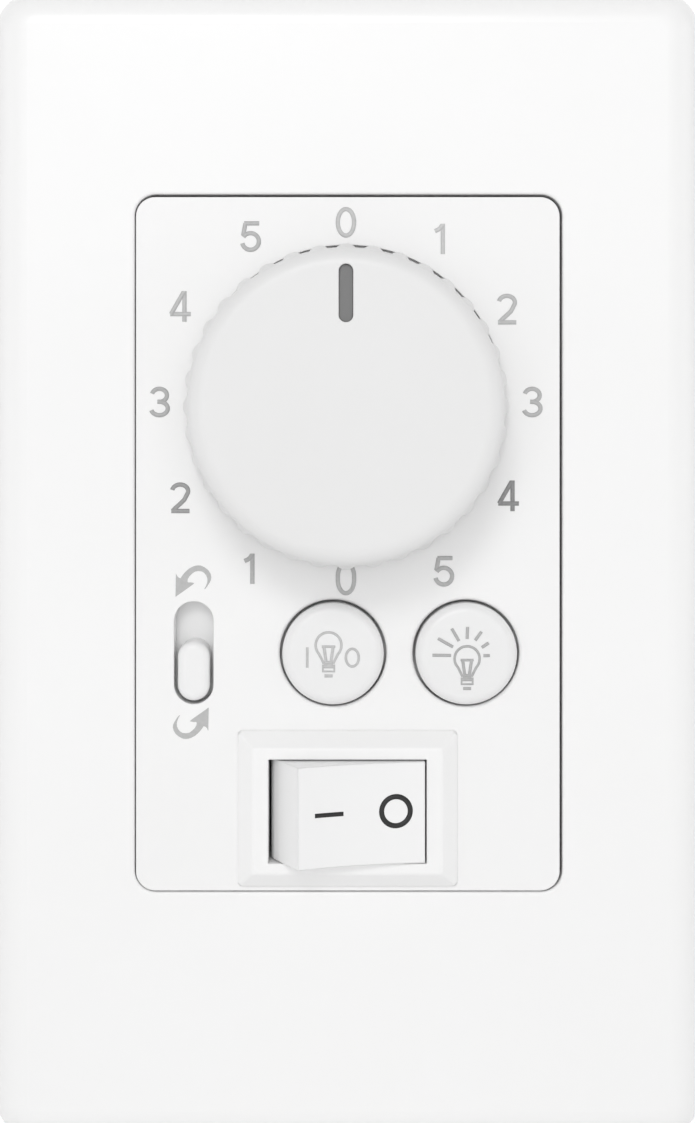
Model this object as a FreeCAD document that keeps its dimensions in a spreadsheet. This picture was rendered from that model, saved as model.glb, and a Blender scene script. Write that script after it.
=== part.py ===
import FreeCAD, Part
import Sketcher
import math
import os
import re
from FreeCAD import Vector

# Fan speed control switch: a clip-on surround over a control panel that carries a
# twelve-position knob, a reverse slide, two push buttons and an isolating rocker.
# The wall is the plane y = 0, the front of the control looks along -Y and Z is up.
# The origin is the middle of the plate, between the two mounting screws.
# A height is a distance in front of the wall plane; a negative one is inside the wall.

doc = FreeCAD.newDocument("FanSpeedControl")
sheet = doc.addObject("Spreadsheet::Sheet", "Sizes")

SIZES = [
    ("plate_width", "70.5", "surround, across"),
    ("plate_length", "114.5", "surround, upright"),
    ("plate_height", "9.2", "surround front above the wall"),
    ("plate_corner", "4.4", "surround corner radius"),
    ("plate_edge_round", "3.8", "roll of the surround's front edge"),
    ("plate_wall", "2.2", "surround side wall"),
    ("plate_face", "2.4", "surround front wall"),
    ("aperture_corner", "2.1", "corner radius of that opening"),
    ("aperture_x", "0.1", "middle of that opening"),
    ("aperture_z", "2.35", "middle of that opening"),
    ("aperture_break", "0.25", "rounding of its front edge"),
    ("collar_wall", "1.4", "collar round the opening, under the surround"),
    ("collar_clear", "0.6", "collar above the panel flange"),
    ("panel_gap", "0.2", "panel to opening, each side"),
    ("panel_play", "0.07", "how far the panel sits off centre in the opening"),
    ("panel_sink", "0.1", "panel front below the surround front"),
    ("panel_wall", "2.4", "panel front wall"),
    ("panel_side_wall", "1.8", "panel side wall"),
    ("flange_clear", "1.3", "fixing flange to the surround's side wall"),
    ("flange_thick", "2.2", "fixing flange"),
    ("flange_corner", "3", "corner radius of the flange"),
    ("mount_spacing", "84", "between the two mounting screws"),
    ("mount_hole_radius", "2.1", "mounting screw hole"),
    ("clip_width", "7", "snap clip of the surround"),
    ("clip_thick", "1.5", "snap clip arm"),
    ("clip_lip", "0.6", "hook of the snap clip"),
    ("clip_inset", "4.45", "clip arm from the side wall's inside"),
    ("clip_from_end", "10.25", "clip arm from the end of the surround"),
    ("clip_lift", "0.2", "end of the clip above the wall"),
    ("clip_ledge", "1.1", "ledge of the flange that the hook catches"),
    ("clip_slot_clear", "0.4", "clip in its flange slot"),
    ("knob_x", "-0.14", "knob axis"),
    ("knob_margin", "4.69", "knob recess to the upper edge of the panel"),
    ("button_land", "4.125", "knob recess to the button holes"),
    ("rocker_land", "2.305", "button holes to the rocker switch"),
    ("rocker_margin", "0.57", "rocker switch to the lower edge of the panel"),
    ("slot_margin", "3.73", "slot to the left edge of the panel"),
    ("slot_land", "6.495", "slot to the light button's hole"),
    ("dimmer_land", "2.57", "between the two button holes"),
    ("dimmer_margin", "3.945", "dimmer button's hole to the right edge of the panel"),
    ("knob_radius", "15.77", "over the grip lobes"),
    ("knob_front", "22", "knob face above the wall"),
    ("knob_recess", "1", "round recess under the knob"),
    ("recess_inside", "0.41", "edge of the recess inside the grip lobes"),
    ("knob_sag", "0.5", "knob axis below the middle of the recess"),
    ("knob_lift", "0.3", "knob skirt in front of the panel"),
    ("skirt_height", "3.6", "lobed part of the knob"),
    ("lobe_count", "36", "grip lobes round the knob"),
    ("lobe_radius", "1.12", "grip lobe"),
    ("lobe_step", "0.44", "grip lobes beyond the knob's smooth wall"),
    ("lobe_slope", "1", "sloping front end of the lobes"),
    ("knob_draft", "0.73", "how much the smooth wall narrows to the face"),
    ("knob_face_round", "1.6", "rounding of the knob face"),
    ("knob_wall", "1.6", "knob skirt wall"),
    ("knob_face_wall", "2", "knob face wall"),
    ("hub_radius", "5.2", "knob hub"),
    ("hub_clear", "0.8", "hub above the threaded bushing"),
    ("rib_count", "6", "ribs inside the knob"),
    ("rib_thick", "1", "rib inside the knob"),
    ("rib_height", "3.4", "rib inside the knob"),
    ("rib_root", "1", "rib sunk into the hub and the face"),
    ("pointer_width", "1.33", "pointer groove in the knob face"),
    ("pointer_inner", "7.75", "groove's near end from the axis"),
    ("pointer_outer", "13.12", "groove's far end from the axis"),
    ("pointer_depth", "1.1", "pointer groove"),
    ("pointer_sunk", "0.45", "pointer inlay below the knob face"),
    ("fit_clear", "0.02", "parts that are pressed or moulded together"),
    ("run_clear", "0.05", "shafts and pins that turn"),
    ("shaft_radius", "3", "switch shaft"),
    ("shaft_flat", "1.5", "flat of the shaft from its axis"),
    ("shaft_in_hub", "6.6", "shaft inside the knob hub"),
    ("bushing_radius", "3.5", "threaded bushing"),
    ("bushing_length", "4.4", "threaded bushing in front of the panel recess"),
    ("bushing_clear", "0.1", "bushing in the panel hole"),
    ("washer_radius", "5.6", "washer under the nut"),
    ("washer_thick", "0.5", "washer under the nut"),
    ("nut_flats", "10", "bushing nut over its flats"),
    ("nut_thick", "2", "bushing nut"),
    ("rotary_radius", "12.5", "rotary switch body"),
    ("rotary_wall", "1.4", "rotary switch cover wall"),
    ("rotary_base_thick", "1.6", "rotary switch contact base"),
    ("rotor_radius", "9.6", "rotor inside the rotary switch"),
    ("rotor_thick", "1.4", "rotor inside the rotary switch"),
    ("rotor_clear", "0.5", "rotor above the contact base"),
    ("detent_count", "12", "positions of the knob"),
    ("detent_radius", "1", "detent notch in the cover wall"),
    ("detent_play", "0.25", "nose of the rotor in a detent notch"),
    ("pin_circle", "9.4", "rotary switch pins from the axis"),
    ("leg_radius", "0.45", "soldered pins"),
    ("leg_clear", "0.1", "soldered pins in the board holes"),
    ("leg_out", "0.5", "soldered pins behind the board"),
    ("leg_sunk", "0.3", "pins of the rear parts end inside the board"),
    ("tact_leg_x", "2.25", "legs of a tact switch"),
    ("tact_leg_z", "3.25", "legs of a tact switch"),
    ("slide_leg_pitch", "3", "between the legs of the slide switch"),
    ("part_stand", "0.6", "parts behind the board stand off it"),
    ("board_depth", "1", "circuit board front behind the wall plane"),
    ("board_thick", "1.6", "circuit board"),
    ("board_side_clear", "3", "circuit board to the side walls of the housing"),
    ("board_clear", "0.38", "circuit board to the upper screw posts"),
    ("board_gap", "1", "circuit board to the rocker switch"),
    ("board_corner", "1.5", "board corner radius"),
    ("board_post_radius", "2", "posts that the board is screwed to"),
    ("board_post_inset", "2.6", "upper posts from the board's edges"),
    ("low_post_inset", "1.6", "lower post from the board's edges"),
    ("board_screw_radius", "0.9", "board screw shank"),
    ("board_screw_head", "1.9", "board screw head radius"),
    ("board_screw_length", "6", "board screw shank in a post"),
    ("screw_end_clear", "0.3", "end of a board screw in its hole"),
    ("screw_clear", "0.06", "screw shank in its pilot hole"),
    ("screw_pass", "0.2", "screw shank in the piece it clamps"),
    ("screw_head_height", "1.3", "screw heads"),
    ("button_radius", "4.975", "push button cap"),
    ("button_gap", "0.27", "cap to its hole"),
    ("button_proud", "1.2", "cap in front of the panel"),
    ("button_round", "0.9", "rounding of the cap"),
    ("button_hole_break", "0.3", "rounding of the button hole"),
    ("button_flange", "5.75", "flange that keeps the cap in, radius"),
    ("button_flange_thick", "1", "flange that keeps the cap in"),
    ("button_stem", "1.9", "stem of the cap"),
    ("button_wall", "1.2", "cap wall"),
    ("tact_size", "6.8", "tact switch under a button"),
    ("tact_height", "3.5", "tact switch body"),
    ("tact_plunger", "1.7", "tact switch plunger radius"),
    ("tact_proud", "1.5", "plunger above the tact switch body"),
    ("tact_well", "1.2", "well that the plunger sinks into"),
    ("press_travel", "0.35", "travel of a button"),
    ("slot_width", "3.88", "slot of the reverse slide"),
    ("slot_length", "10.1", "slot of the reverse slide"),
    ("slot_rise", "0.03", "middle of the slot above the buttons' middle"),
    ("slider_width", "3.15", "finger pill of the reverse slide"),
    ("slider_length", "5.85", "finger pill of the reverse slide"),
    ("slider_travel", "3.56", "travel of the reverse slide"),
    ("slider_proud", "0.5", "finger pill in front of the panel"),
    ("slider_round", "0.7", "rounding of the finger pill"),
    ("shutter_width", "6.4", "plate behind the slot"),
    ("shutter_length", "14.4", "plate behind the slot"),
    ("shutter_thick", "1", "plate behind the slot"),
    ("shutter_clear", "0.15", "plate to the panel"),
    ("guide_thick", "0.9", "rail beside the shutter"),
    ("fork_width", "4.2", "fork that drives the slide switch"),
    ("fork_length", "4.4", "fork that drives the slide switch"),
    ("slide_body_width", "4.4", "slide switch"),
    ("slide_body_length", "9.4", "slide switch"),
    ("slide_body_height", "3.5", "slide switch"),
    ("slide_well", "1.4", "depth of the slide switch's window"),
    ("lever_width", "1.6", "slide switch lever"),
    ("lever_length", "1.6", "slide switch lever"),
    ("lever_clear", "0.1", "lever in the fork and in its window"),
    ("lever_height", "2.5", "lever above the slide switch body"),
    ("fork_clear", "0.4", "fork above the slide switch body"),
    ("rocker_x", "0", "middle of the rocker switch"),
    ("bezel_width", "21.5", "rocker switch bezel, across"),
    ("bezel_length", "15.2", "rocker switch bezel, upright"),
    ("bezel_height", "2", "rocker switch bezel"),
    ("bezel_bevel", "1.5", "bevel of the bezel"),
    ("bezel_corner", "0.4", "corner radius of the bezel"),
    ("bezel_soft", "0.5", "rounding between the bezel's face and its bevel"),
    ("mouth_width", "15.4", "mouth that the rocker tilts in, across"),
    ("mouth_length", "10.1", "mouth that the rocker tilts in, upright"),
    ("rocker_body_width", "18.8", "rocker switch body, across"),
    ("rocker_body_length", "12.6", "rocker switch body, upright"),
    ("rocker_body_depth", "5", "rocker switch floor behind the wall plane"),
    ("rocker_floor", "1.4", "rocker switch floor"),
    ("rocker_cutout_clear", "0.1", "rocker switch body in the panel"),
    ("rocker_pivot", "7.85", "pivot of the rocker above the wall"),
    ("rocker_tilt", "15", "lean of the rocker to either side"),
    ("rocker_top_half", "6.34", "rocker's raised corner from its pivot, across"),
    ("rocker_top", "5.41", "rocker's raised corner above its pivot"),
    ("rocker_dish", "8", "slope of each half of the rocker"),
    ("rocker_valley", "36", "hollow where the two halves meet, radius"),
    ("rocker_low_half", "7.45", "rocker's half length at its pivot"),
    ("rocker_skirt", "1.1", "rocker wall below its pivot"),
    ("rocker_side_clear", "0.15", "rocker to its mouth, above and below"),
    ("rocker_wall", "1.1", "rocker wall"),
    ("trunnion_radius", "1.3", "pivot pins of the rocker"),
    ("trunnion_length", "0.9", "pivot pins of the rocker"),
    ("spring_tube", "1.9", "radius of the spring tube under the rocker"),
    ("spring_tube_drop", "5.5", "spring tube below the rocker's pivot"),
    ("spring_bore", "1.15", "bore of the spring tube, radius"),
    ("spring_bore_rise", "2.4", "bore above the rocker's pivot"),
    ("spring_length", "2", "spring in its tube"),
    ("spring_wall", "0.4", "spring in its tube"),
    ("plunger_reach", "9.5", "tip of the spring plunger from the pivot"),
    ("plunger_flat", "0.1", "flat left on the plunger's round tip, radius"),
    ("contact_fulcrum", "1.2", "knife edge of the contact above the floor"),
    ("contact_half", "5.2", "half length of the seesaw contact"),
    ("contact_width", "4", "seesaw contact"),
    ("contact_thick", "0.5", "seesaw contact"),
    ("contact_dish", "12", "slope of each half of the contact"),
    ("contact_tilt", "8", "lean of the contact to either side"),
    ("contact_gap", "0.15", "closed contact to its terminal"),
    ("lug_reach", "0.8", "snap lug of the rocker switch"),
    ("lug_length", "5", "snap lug of the rocker switch"),
    ("lug_drop", "3", "snap lug behind the panel"),
    ("lug_root", "0.5", "snap lug sunk into the switch body"),
    ("spade_width", "4.8", "spade terminal"),
    ("spade_thick", "0.8", "spade terminal"),
    ("spade_length", "7.6", "spade terminal behind the switch"),
    ("spade_hole", "0.9", "hole in a spade terminal"),
    ("housing_side_reach", "2.2", "rear housing past the panel, each side"),
    ("housing_end_reach", "0.2", "rear housing past the panel, each end"),
    ("housing_depth", "26", "rear housing"),
    ("housing_wall", "1.6", "rear housing"),
    ("housing_corner", "3", "rear housing corner radius"),
    ("post_radius", "3.2", "housing screw post"),
    ("boss_inset", "0.15", "panel boss from the inside of the panel's walls"),
    ("boss_radius", "2.5", "panel boss for a housing screw"),
    ("boss_roof", "1", "boss left in front of its screw hole"),
    ("housing_screw_radius", "1.15", "housing screw shank"),
    ("housing_screw_head", "2.1", "housing screw head radius"),
    ("housing_screw_length", "12", "housing screw shank"),
    ("counterbore", "2.4", "well of a housing screw, radius"),
    ("post_land", "7", "post left under a screw head"),
    ("window_side", "1", "window past the terminal block, each side"),
    ("window_over", "0.9", "window above the block and below the rocker's middle"),
    ("vent_count", "6", "vent slots on each side"),
    ("vent_width", "2", "vent slot"),
    ("vent_length", "9", "vent slot"),
    ("vent_pitch", "5", "between vent slots"),
    ("block_ways", "5", "ways of the terminal block"),
    ("block_pitch", "5", "between the ways"),
    ("block_length", "10", "terminal block"),
    ("block_height", "11", "terminal block"),
    ("block_inset", "0.4", "terminal block from the board's lower edge"),
    ("wire_hole", "3.2", "wire entry, square"),
    ("wire_hole_depth", "6", "wire entry"),
    ("clamp_screw_radius", "1.7", "terminal screw"),
    ("clamp_screw_height", "1.8", "terminal screw"),
    ("clamp_well", "2.6", "well of a terminal screw"),
    ("clamp_well_clear", "0.15", "terminal screw in its well"),
    ("relay_width", "15.2", "relay"),
    ("relay_length", "18.8", "relay"),
    ("relay_height", "15.3", "relay"),
    ("relay_inset", "1.4", "relay from the board's left edge"),
    ("relay_pin_x", "6", "relay pins from its middle"),
    ("relay_pin_z", "7.2", "relay pins from its middle"),
    ("film_width", "18", "supply capacitor"),
    ("film_length", "8.5", "supply capacitor"),
    ("film_height", "14.5", "supply capacitor"),
    ("film_pin_x", "7.5", "pins of the supply capacitor from its middle"),
    ("can_radius", "4", "smoothing capacitor"),
    ("can_height", "11.5", "smoothing capacitor"),
    ("can_pin_z", "1.75", "pins of the smoothing capacitor from its middle"),
    ("fuse_radius", "4.2", "fuse"),
    ("fuse_height", "8", "fuse"),
    ("fuse_pin_z", "2.54", "pins of the fuse from its middle"),
    ("fuse_inset", "1.8", "fuse from the board's right edge"),
    ("chip_width", "7.5", "controller chip"),
    ("chip_length", "10.3", "controller chip"),
    ("chip_height", "2.3", "controller chip"),
    ("chip_leg_count", "8", "legs on each side of the chip"),
    ("chip_leg_pitch", "1.27", "between the legs of the chip"),
    ("chip_leg_width", "0.42", "leg of the chip"),
    ("chip_leg_thick", "0.25", "leg of the chip"),
    ("chip_leg_reach", "1.4", "legs of the chip, out from its sides"),
    ("chip_foot", "0.8", "foot of a leg on the board"),
    ("chip_inset", "5.25", "controller chip from the board's right edge"),
    ("part_gap", "1", "between the parts on the board"),
    ("part_round", "0.5", "rounding of the boxes on the board"),
    ("clamp_groove", "0.6", "screwdriver groove of a terminal screw"),
    ("tail_clear", "0.4", "end of the switch shaft above the board"),
]

rules = {}
for row, (name, number, note) in enumerate(SIZES, 1):
    sheet.set(f"A{row}", name)
    sheet.set(f"B{row}", number)
    sheet.setAlias(f"B{row}", name)
    sheet.set(f"C{row}", note)
    rules[name] = "Sizes." + name
doc.recompute()


def bind(rule):
    """Write a rule such as 'plate_width / 2' with references to the sheet."""
    return re.sub(r"[a-z_]\w*", lambda word: rules.get(word.group(), word.group()), rule)


def derive(name, rule):
    """Name a size that follows from others."""
    rules[name] = "(" + bind(rule) + ")"


def value(rule):
    return float(sheet.evalExpression(bind(rule)))


# Sizes that follow from the sheet

derive("panel_x", "aperture_x - panel_play")
derive("panel_z", "aperture_z - panel_play")
derive("button_hole", "button_radius + button_gap")
derive("recess_radius", "knob_radius - recess_inside")
derive("panel_width", "slot_margin + slot_width + slot_land + 2 * button_hole + dimmer_land"
                      " + 2 * button_hole + dimmer_margin")
derive("panel_length", "knob_margin + 2 * recess_radius + button_land + 2 * button_hole"
                       " + rocker_land + bezel_length + rocker_margin")
derive("aperture_width", "panel_width + 2 * panel_gap")
derive("aperture_length", "panel_length + 2 * panel_gap")
derive("panel_left", "panel_x - panel_width / 2")
derive("panel_right", "panel_x + panel_width / 2")
derive("slot_x", "panel_left + slot_margin + slot_width / 2")
derive("dimmer_button_x", "panel_right - dimmer_margin - button_hole")
derive("light_button_x", "dimmer_button_x - dimmer_land - 2 * button_hole")
derive("recess_z", "panel_z + panel_length / 2 - knob_margin - recess_radius")
derive("knob_z", "recess_z - knob_sag")
derive("button_z", "recess_z - recess_radius - button_land - button_hole")
derive("slot_z", "button_z + slot_rise")
derive("rocker_z", "button_z - button_hole - rocker_land - bezel_length / 2")
derive("flange_width", "plate_width - 2 * (plate_wall + flange_clear)")
derive("flange_length", "plate_length - 2 * (plate_wall + flange_clear)")
derive("clip_x", "plate_width / 2 - plate_wall - clip_inset")
derive("clip_z", "plate_length / 2 - clip_from_end")
derive("post_x", "panel_width / 2 - panel_side_wall - boss_radius - boss_inset")
derive("post_z", "panel_length / 2 - panel_side_wall - boss_radius - boss_inset")
derive("housing_width", "panel_width + 2 * housing_side_reach")
derive("housing_length", "panel_length + 2 * housing_end_reach")
derive("board_width", "housing_width - 2 * (housing_wall + board_side_clear)")
derive("board_top", "panel_z + post_z - post_radius - board_clear")
derive("board_bottom", "rocker_z + rocker_body_length / 2 + board_gap")
derive("board_post_x", "board_width / 2 - board_post_inset")
derive("board_post_z", "board_top - board_post_inset")
derive("low_post_x", "board_width / 2 - low_post_inset")
derive("low_post_z", "board_bottom + low_post_inset")
derive("block_z", "board_bottom + block_inset + block_length / 2")
derive("block_top", "block_z + block_length / 2")
derive("window_width", "block_ways * block_pitch + 2 * window_side")
derive("window_top", "block_top + window_over")
derive("window_bottom", "rocker_z - window_over")
derive("relay_x", "relay_inset + relay_width / 2 - board_width / 2")
derive("relay_z", "block_top + part_gap + relay_length / 2")
derive("film_x", "board_screw_head + part_gap + film_width / 2 - board_post_x")
derive("film_z", "relay_z + relay_length / 2 + part_gap + film_length / 2")
derive("chip_x", "board_width / 2 - chip_inset - chip_width / 2")
derive("chip_z", "block_top + part_gap + chip_length / 2")
derive("fuse_x", "board_width / 2 - fuse_inset - fuse_radius")
derive("fuse_z", "chip_z + chip_length / 2 + part_gap + fuse_radius")
derive("can_x", "film_x + film_width / 2 + part_gap + can_radius")
derive("can_z", "fuse_z + fuse_radius + part_gap + can_radius")
derive("panel_corner", "aperture_corner - panel_gap")
derive("panel_front", "plate_height - panel_sink")
derive("panel_back", "panel_front - panel_wall")
derive("cavity_top", "plate_height - plate_face")
derive("recess_floor", "panel_front - knob_recess")
derive("knob_base", "panel_front + knob_lift")
derive("knob_side", "knob_radius - lobe_step")
derive("skirt_front", "knob_base + skirt_height")
derive("rib_end", "knob_side - knob_wall / 2 - knob_draft")
derive("bushing_front", "recess_floor + bushing_length")
derive("hub_base", "bushing_front + hub_clear")
derive("shaft_front", "hub_base + shaft_in_hub")
derive("board_front", "0 - board_depth")
derive("board_back", "board_front - board_thick")
derive("part_seat", "board_back - part_stand")
derive("rotor_base", "board_front + rotary_base_thick + rotor_clear")
derive("button_front", "panel_front + button_proud")
derive("plunger_front", "board_front + tact_height + tact_proud")
derive("shutter_front", "panel_back - shutter_clear")
derive("slider_rest_z", "slot_z - slider_travel / 2")
derive("slide_body_front", "board_front + slide_body_height")
derive("bezel_front", "panel_front + bezel_height")
derive("rocker_half_length", "mouth_length / 2 - rocker_side_clear")
derive("rocker_low", "0 - rocker_body_depth")
derive("rocker_floor_top", "rocker_low + rocker_floor")
derive("contact_pivot", "rocker_floor_top + contact_fulcrum")


# Drawing helpers

def new_body(label, x="0", z="0", height="0"):
    """A body whose own origin stands at x, z on the wall plane, or at a height."""
    body = doc.addObject("PartDesign::Body", label)
    body.Label = label
    body.setExpression(".Placement.Base.x", bind(x))
    body.setExpression(".Placement.Base.y", bind("0 - (" + height + ")"))
    body.setExpression(".Placement.Base.z", bind(z))
    return body


def origin_feature(body, role):
    return [feature for feature in body.Origin.OriginFeatures if feature.Role == role][0]


def new_sketch(body, name, plane, offset):
    sketch = body.newObject("Sketcher::SketchObject", body.Name + "_" + name)
    sketch.AttachmentSupport = [(origin_feature(body, plane), "")]
    sketch.MapMode = "FlatFace"
    sketch.setExpression(".AttachmentOffset.Base.z", bind(offset))
    return sketch


def hold(sketch, kind, places, rule):
    """Add a constraint whose size follows a rule."""
    number = sketch.addConstraint(Sketcher.Constraint(kind, *places, value(rule)))
    sketch.setExpression(f"Constraints[{number}]", bind(rule))


def circle(radius, x="0", z="0"):
    def draw(sketch):
        middle = Vector(value(x), value(z), 0)
        ring = sketch.addGeometry(Part.Circle(middle, Vector(0, 0, 1), value(radius)))
        hold(sketch, "Radius", (ring,), radius)
        hold(sketch, "DistanceX", (-1, 1, ring, 3), x)
        hold(sketch, "DistanceY", (-1, 1, ring, 3), z)
    return draw


def outline(*points):
    """A closed run of straight edges through points given as pairs of rules."""
    def draw(sketch):
        corners = [Vector(value(x), value(z), 0) for x, z in points]
        lines = []
        for here, there in zip(corners, corners[1:] + corners[:1]):
            lines.append(sketch.addGeometry(Part.LineSegment(here, there)))
        for before, after in zip(lines, lines[1:] + lines[:1]):
            sketch.addConstraint(Sketcher.Constraint("Coincident", before, 2, after, 1))
        for line, (x, z) in zip(lines, points):
            hold(sketch, "DistanceX", (-1, 1, line, 1), x)
            hold(sketch, "DistanceY", (-1, 1, line, 1), z)
    return draw


def rectangle(width, length, x="0", z="0"):
    left, right = f"{x} - ({width}) / 2", f"{x} + ({width}) / 2"
    low, high = f"{z} - ({length}) / 2", f"{z} + ({length}) / 2"
    return outline((left, low), (right, low), (right, high), (left, high))


def rounded(width, length, corner, x="0", z="0"):
    """A rectangle with round corners, about a middle point."""
    def draw(sketch):
        half_w, half_l, r = value(width) / 2, value(length) / 2, value(corner)
        middle_x, middle_z = value(x), value(z)
        edges = []
        for turn in range(4):
            quarter = turn * math.pi / 2
            flat = half_w if turn % 2 else half_l
            run = half_l if turn % 2 else half_w
            out = Vector(math.sin(quarter), -math.cos(quarter), 0)
            along = Vector(math.cos(quarter), math.sin(quarter), 0)
            base = Vector(middle_x, middle_z, 0) + out * flat
            start, end = base - along * (run - r), base + along * (run - r)
            edges.append(sketch.addGeometry(Part.LineSegment(start, end)))
            ring = Part.Circle(end - out * r, Vector(0, 0, 1), r)
            arc = Part.ArcOfCircle(ring, quarter - math.pi / 2, quarter)
            edges.append(sketch.addGeometry(arc))
        for before, after in zip(edges, edges[1:] + edges[:1]):
            sketch.addConstraint(Sketcher.Constraint("Tangent", before, 2, after, 1))
        for side, direction in enumerate(["Horizontal", "Vertical"] * 2):
            sketch.addConstraint(Sketcher.Constraint(direction, edges[2 * side]))
        for arc in edges[3::2]:
            sketch.addConstraint(Sketcher.Constraint("Equal", edges[1], arc))
        hold(sketch, "Radius", (edges[1],), corner)
        hold(sketch, "DistanceX", (-1, 1, edges[2], 1), f"{x} + ({width}) / 2")
        hold(sketch, "DistanceX", (-1, 1, edges[6], 1), f"{x} - ({width}) / 2")
        hold(sketch, "DistanceY", (-1, 1, edges[4], 1), f"{z} + ({length}) / 2")
        hold(sketch, "DistanceY", (-1, 1, edges[0], 1), f"{z} - ({length}) / 2")
    return draw


def pill(width, length, x="0", z="0"):
    """An upright slot shape with round ends."""
    def draw(sketch):
        r = value(width) / 2
        reach = value(length) / 2 - r
        middle = Vector(value(x), value(z), 0)
        top, low = middle + Vector(0, reach, 0), middle - Vector(0, reach, 0)
        side = Vector(r, 0, 0)
        right = sketch.addGeometry(Part.LineSegment(low + side, top + side))
        upper = sketch.addGeometry(
            Part.ArcOfCircle(Part.Circle(top, Vector(0, 0, 1), r), 0, math.pi))
        left = sketch.addGeometry(Part.LineSegment(top - side, low - side))
        lower = sketch.addGeometry(
            Part.ArcOfCircle(Part.Circle(low, Vector(0, 0, 1), r), math.pi, 2 * math.pi))
        loop = [right, upper, left, lower]
        for before, after in zip(loop, loop[1:] + loop[:1]):
            sketch.addConstraint(Sketcher.Constraint("Tangent", before, 2, after, 1))
        sketch.addConstraint(Sketcher.Constraint("Vertical", right))
        sketch.addConstraint(Sketcher.Constraint("Equal", upper, lower))
        hold(sketch, "Radius", (upper,), f"({width}) / 2")
        hold(sketch, "DistanceX", (-1, 1, upper, 3), x)
        hold(sketch, "DistanceY", (-1, 1, upper, 3), f"{z} + (({length}) - ({width})) / 2")
        hold(sketch, "DistanceY", (-1, 1, lower, 3), f"{z} - (({length}) - ({width})) / 2")
    return draw


def d_shape(clear):
    """The section of the switch shaft, with its flat below."""
    def draw(sketch):
        r, flat = value(f"shaft_radius + {clear}"), value(f"shaft_flat + {clear}")
        lean = math.asin(flat / r)
        half = r * math.cos(lean)
        ring = Part.Circle(Vector(0, 0, 0), Vector(0, 0, 1), r)
        arc = sketch.addGeometry(Part.ArcOfCircle(ring, -lean, math.pi + lean))
        line = sketch.addGeometry(Part.LineSegment(Vector(-half, -flat, 0), Vector(half, -flat, 0)))
        sketch.addConstraint(Sketcher.Constraint("Coincident", arc, 2, line, 1))
        sketch.addConstraint(Sketcher.Constraint("Coincident", line, 2, arc, 1))
        sketch.addConstraint(Sketcher.Constraint("Horizontal", line))
        sketch.addConstraint(Sketcher.Constraint("Coincident", arc, 3, -1, 1))
        hold(sketch, "Radius", (arc,), f"shaft_radius + {clear}")
        hold(sketch, "DistanceY", (-1, 1, line, 1), f"0 - (shaft_flat + {clear})")
    return draw


def raised(body, name, low, high, *shapes, plane="XZ_Plane"):
    """Material between two heights. On the side plane the heights run along Z."""
    sketch = new_sketch(body, name, plane, low)
    for draw in shapes:
        draw(sketch)
    pad = body.newObject("PartDesign::Pad", body.Name + "_" + name + "_pad")
    pad.Profile = sketch
    pad.setExpression("Length", bind(f"({high}) - ({low})"))
    doc.recompute()
    return pad


def cut(body, name, low, high, *shapes, plane="XZ_Plane"):
    """A pocket between two heights, checked to have taken material away."""
    before = body.Shape.Volume
    sketch = new_sketch(body, name, plane, high)
    for draw in shapes:
        draw(sketch)
    pocket = body.newObject("PartDesign::Pocket", body.Name + "_" + name + "_cut")
    pocket.Profile = sketch
    pocket.setExpression("Length", bind(f"({high}) - ({low})"))
    doc.recompute()
    if pocket.Shape.Volume >= before:
        raise RuntimeError(pocket.Name + " took nothing away")
    return pocket


def turned(body, name, kind, *points):
    """A Revolution or a Groove about the body's front-to-back axis: (radius, height) pairs."""
    sketch = new_sketch(body, name, "XY_Plane", "0")
    outline(*[(radius, f"0 - ({height})") for radius, height in points])(sketch)
    turn = body.newObject("PartDesign::" + kind, body.Name + "_" + name + "_turn")
    turn.Profile = sketch
    turn.ReferenceAxis = (sketch, ["V_Axis"])
    doc.recompute()
    return turn


def around(body, name, feature, count):
    """Repeat a feature round the body's front-to-back axis."""
    pattern = body.newObject("PartDesign::PolarPattern", body.Name + "_" + name)
    pattern.Originals = [feature]
    pattern.Axis = (origin_feature(body, "Y_Axis"), [""])
    pattern.Angle = 360
    pattern.setExpression("Occurrences", bind(count))
    body.Tip = pattern
    doc.recompute()
    return pattern


def soften(body, name, kind, size, wanted):
    """Fillet or chamfer the edges of the body's tip that a test picks."""
    base = body.Tip
    picked = [f"Edge{n}" for n, edge in enumerate(base.Shape.Edges, 1) if wanted(edge)]
    if not picked:
        raise RuntimeError(body.Name + " has no edge for " + name)
    finish = body.newObject("PartDesign::" + kind, body.Name + "_" + name)
    finish.Base = (base, picked)
    finish.setExpression("Radius" if kind == "Fillet" else "Size", bind(size))
    doc.recompute()
    return finish


def level(edge, height, slack=0.001):
    """Whether an edge lies flat at a height of its body."""
    box = edge.BoundBox
    return abs(box.YMin + height) < slack and abs(box.YMax + height) < slack


def reach(edge):
    """The largest distance across or upright of an edge from its body's origin."""
    box = edge.BoundBox
    return max(abs(box.XMin), abs(box.XMax)), max(abs(box.ZMin), abs(box.ZMax))


def group(label, solids, x="0", z="0"):
    """Several like solids that share one name."""
    item = doc.addObject("Part::Feature", label)
    item.Label = label
    item.Shape = Part.makeCompound(solids) if len(solids) > 1 else solids[0]
    item.Placement = FreeCAD.Placement(Vector(value(x), 0, value(z)), FreeCAD.Rotation())
    return item


def rod(radius, low, high, x=0, z=0):
    """A round bar between two heights, given as plain numbers."""
    return Part.makeCylinder(radius, high - low, Vector(x, -low, z), Vector(0, -1, 0))


# Surround plate: one hollow moulding with a rolled front edge, a collar round its
# opening and four snap clips that hook under the panel flange

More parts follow.
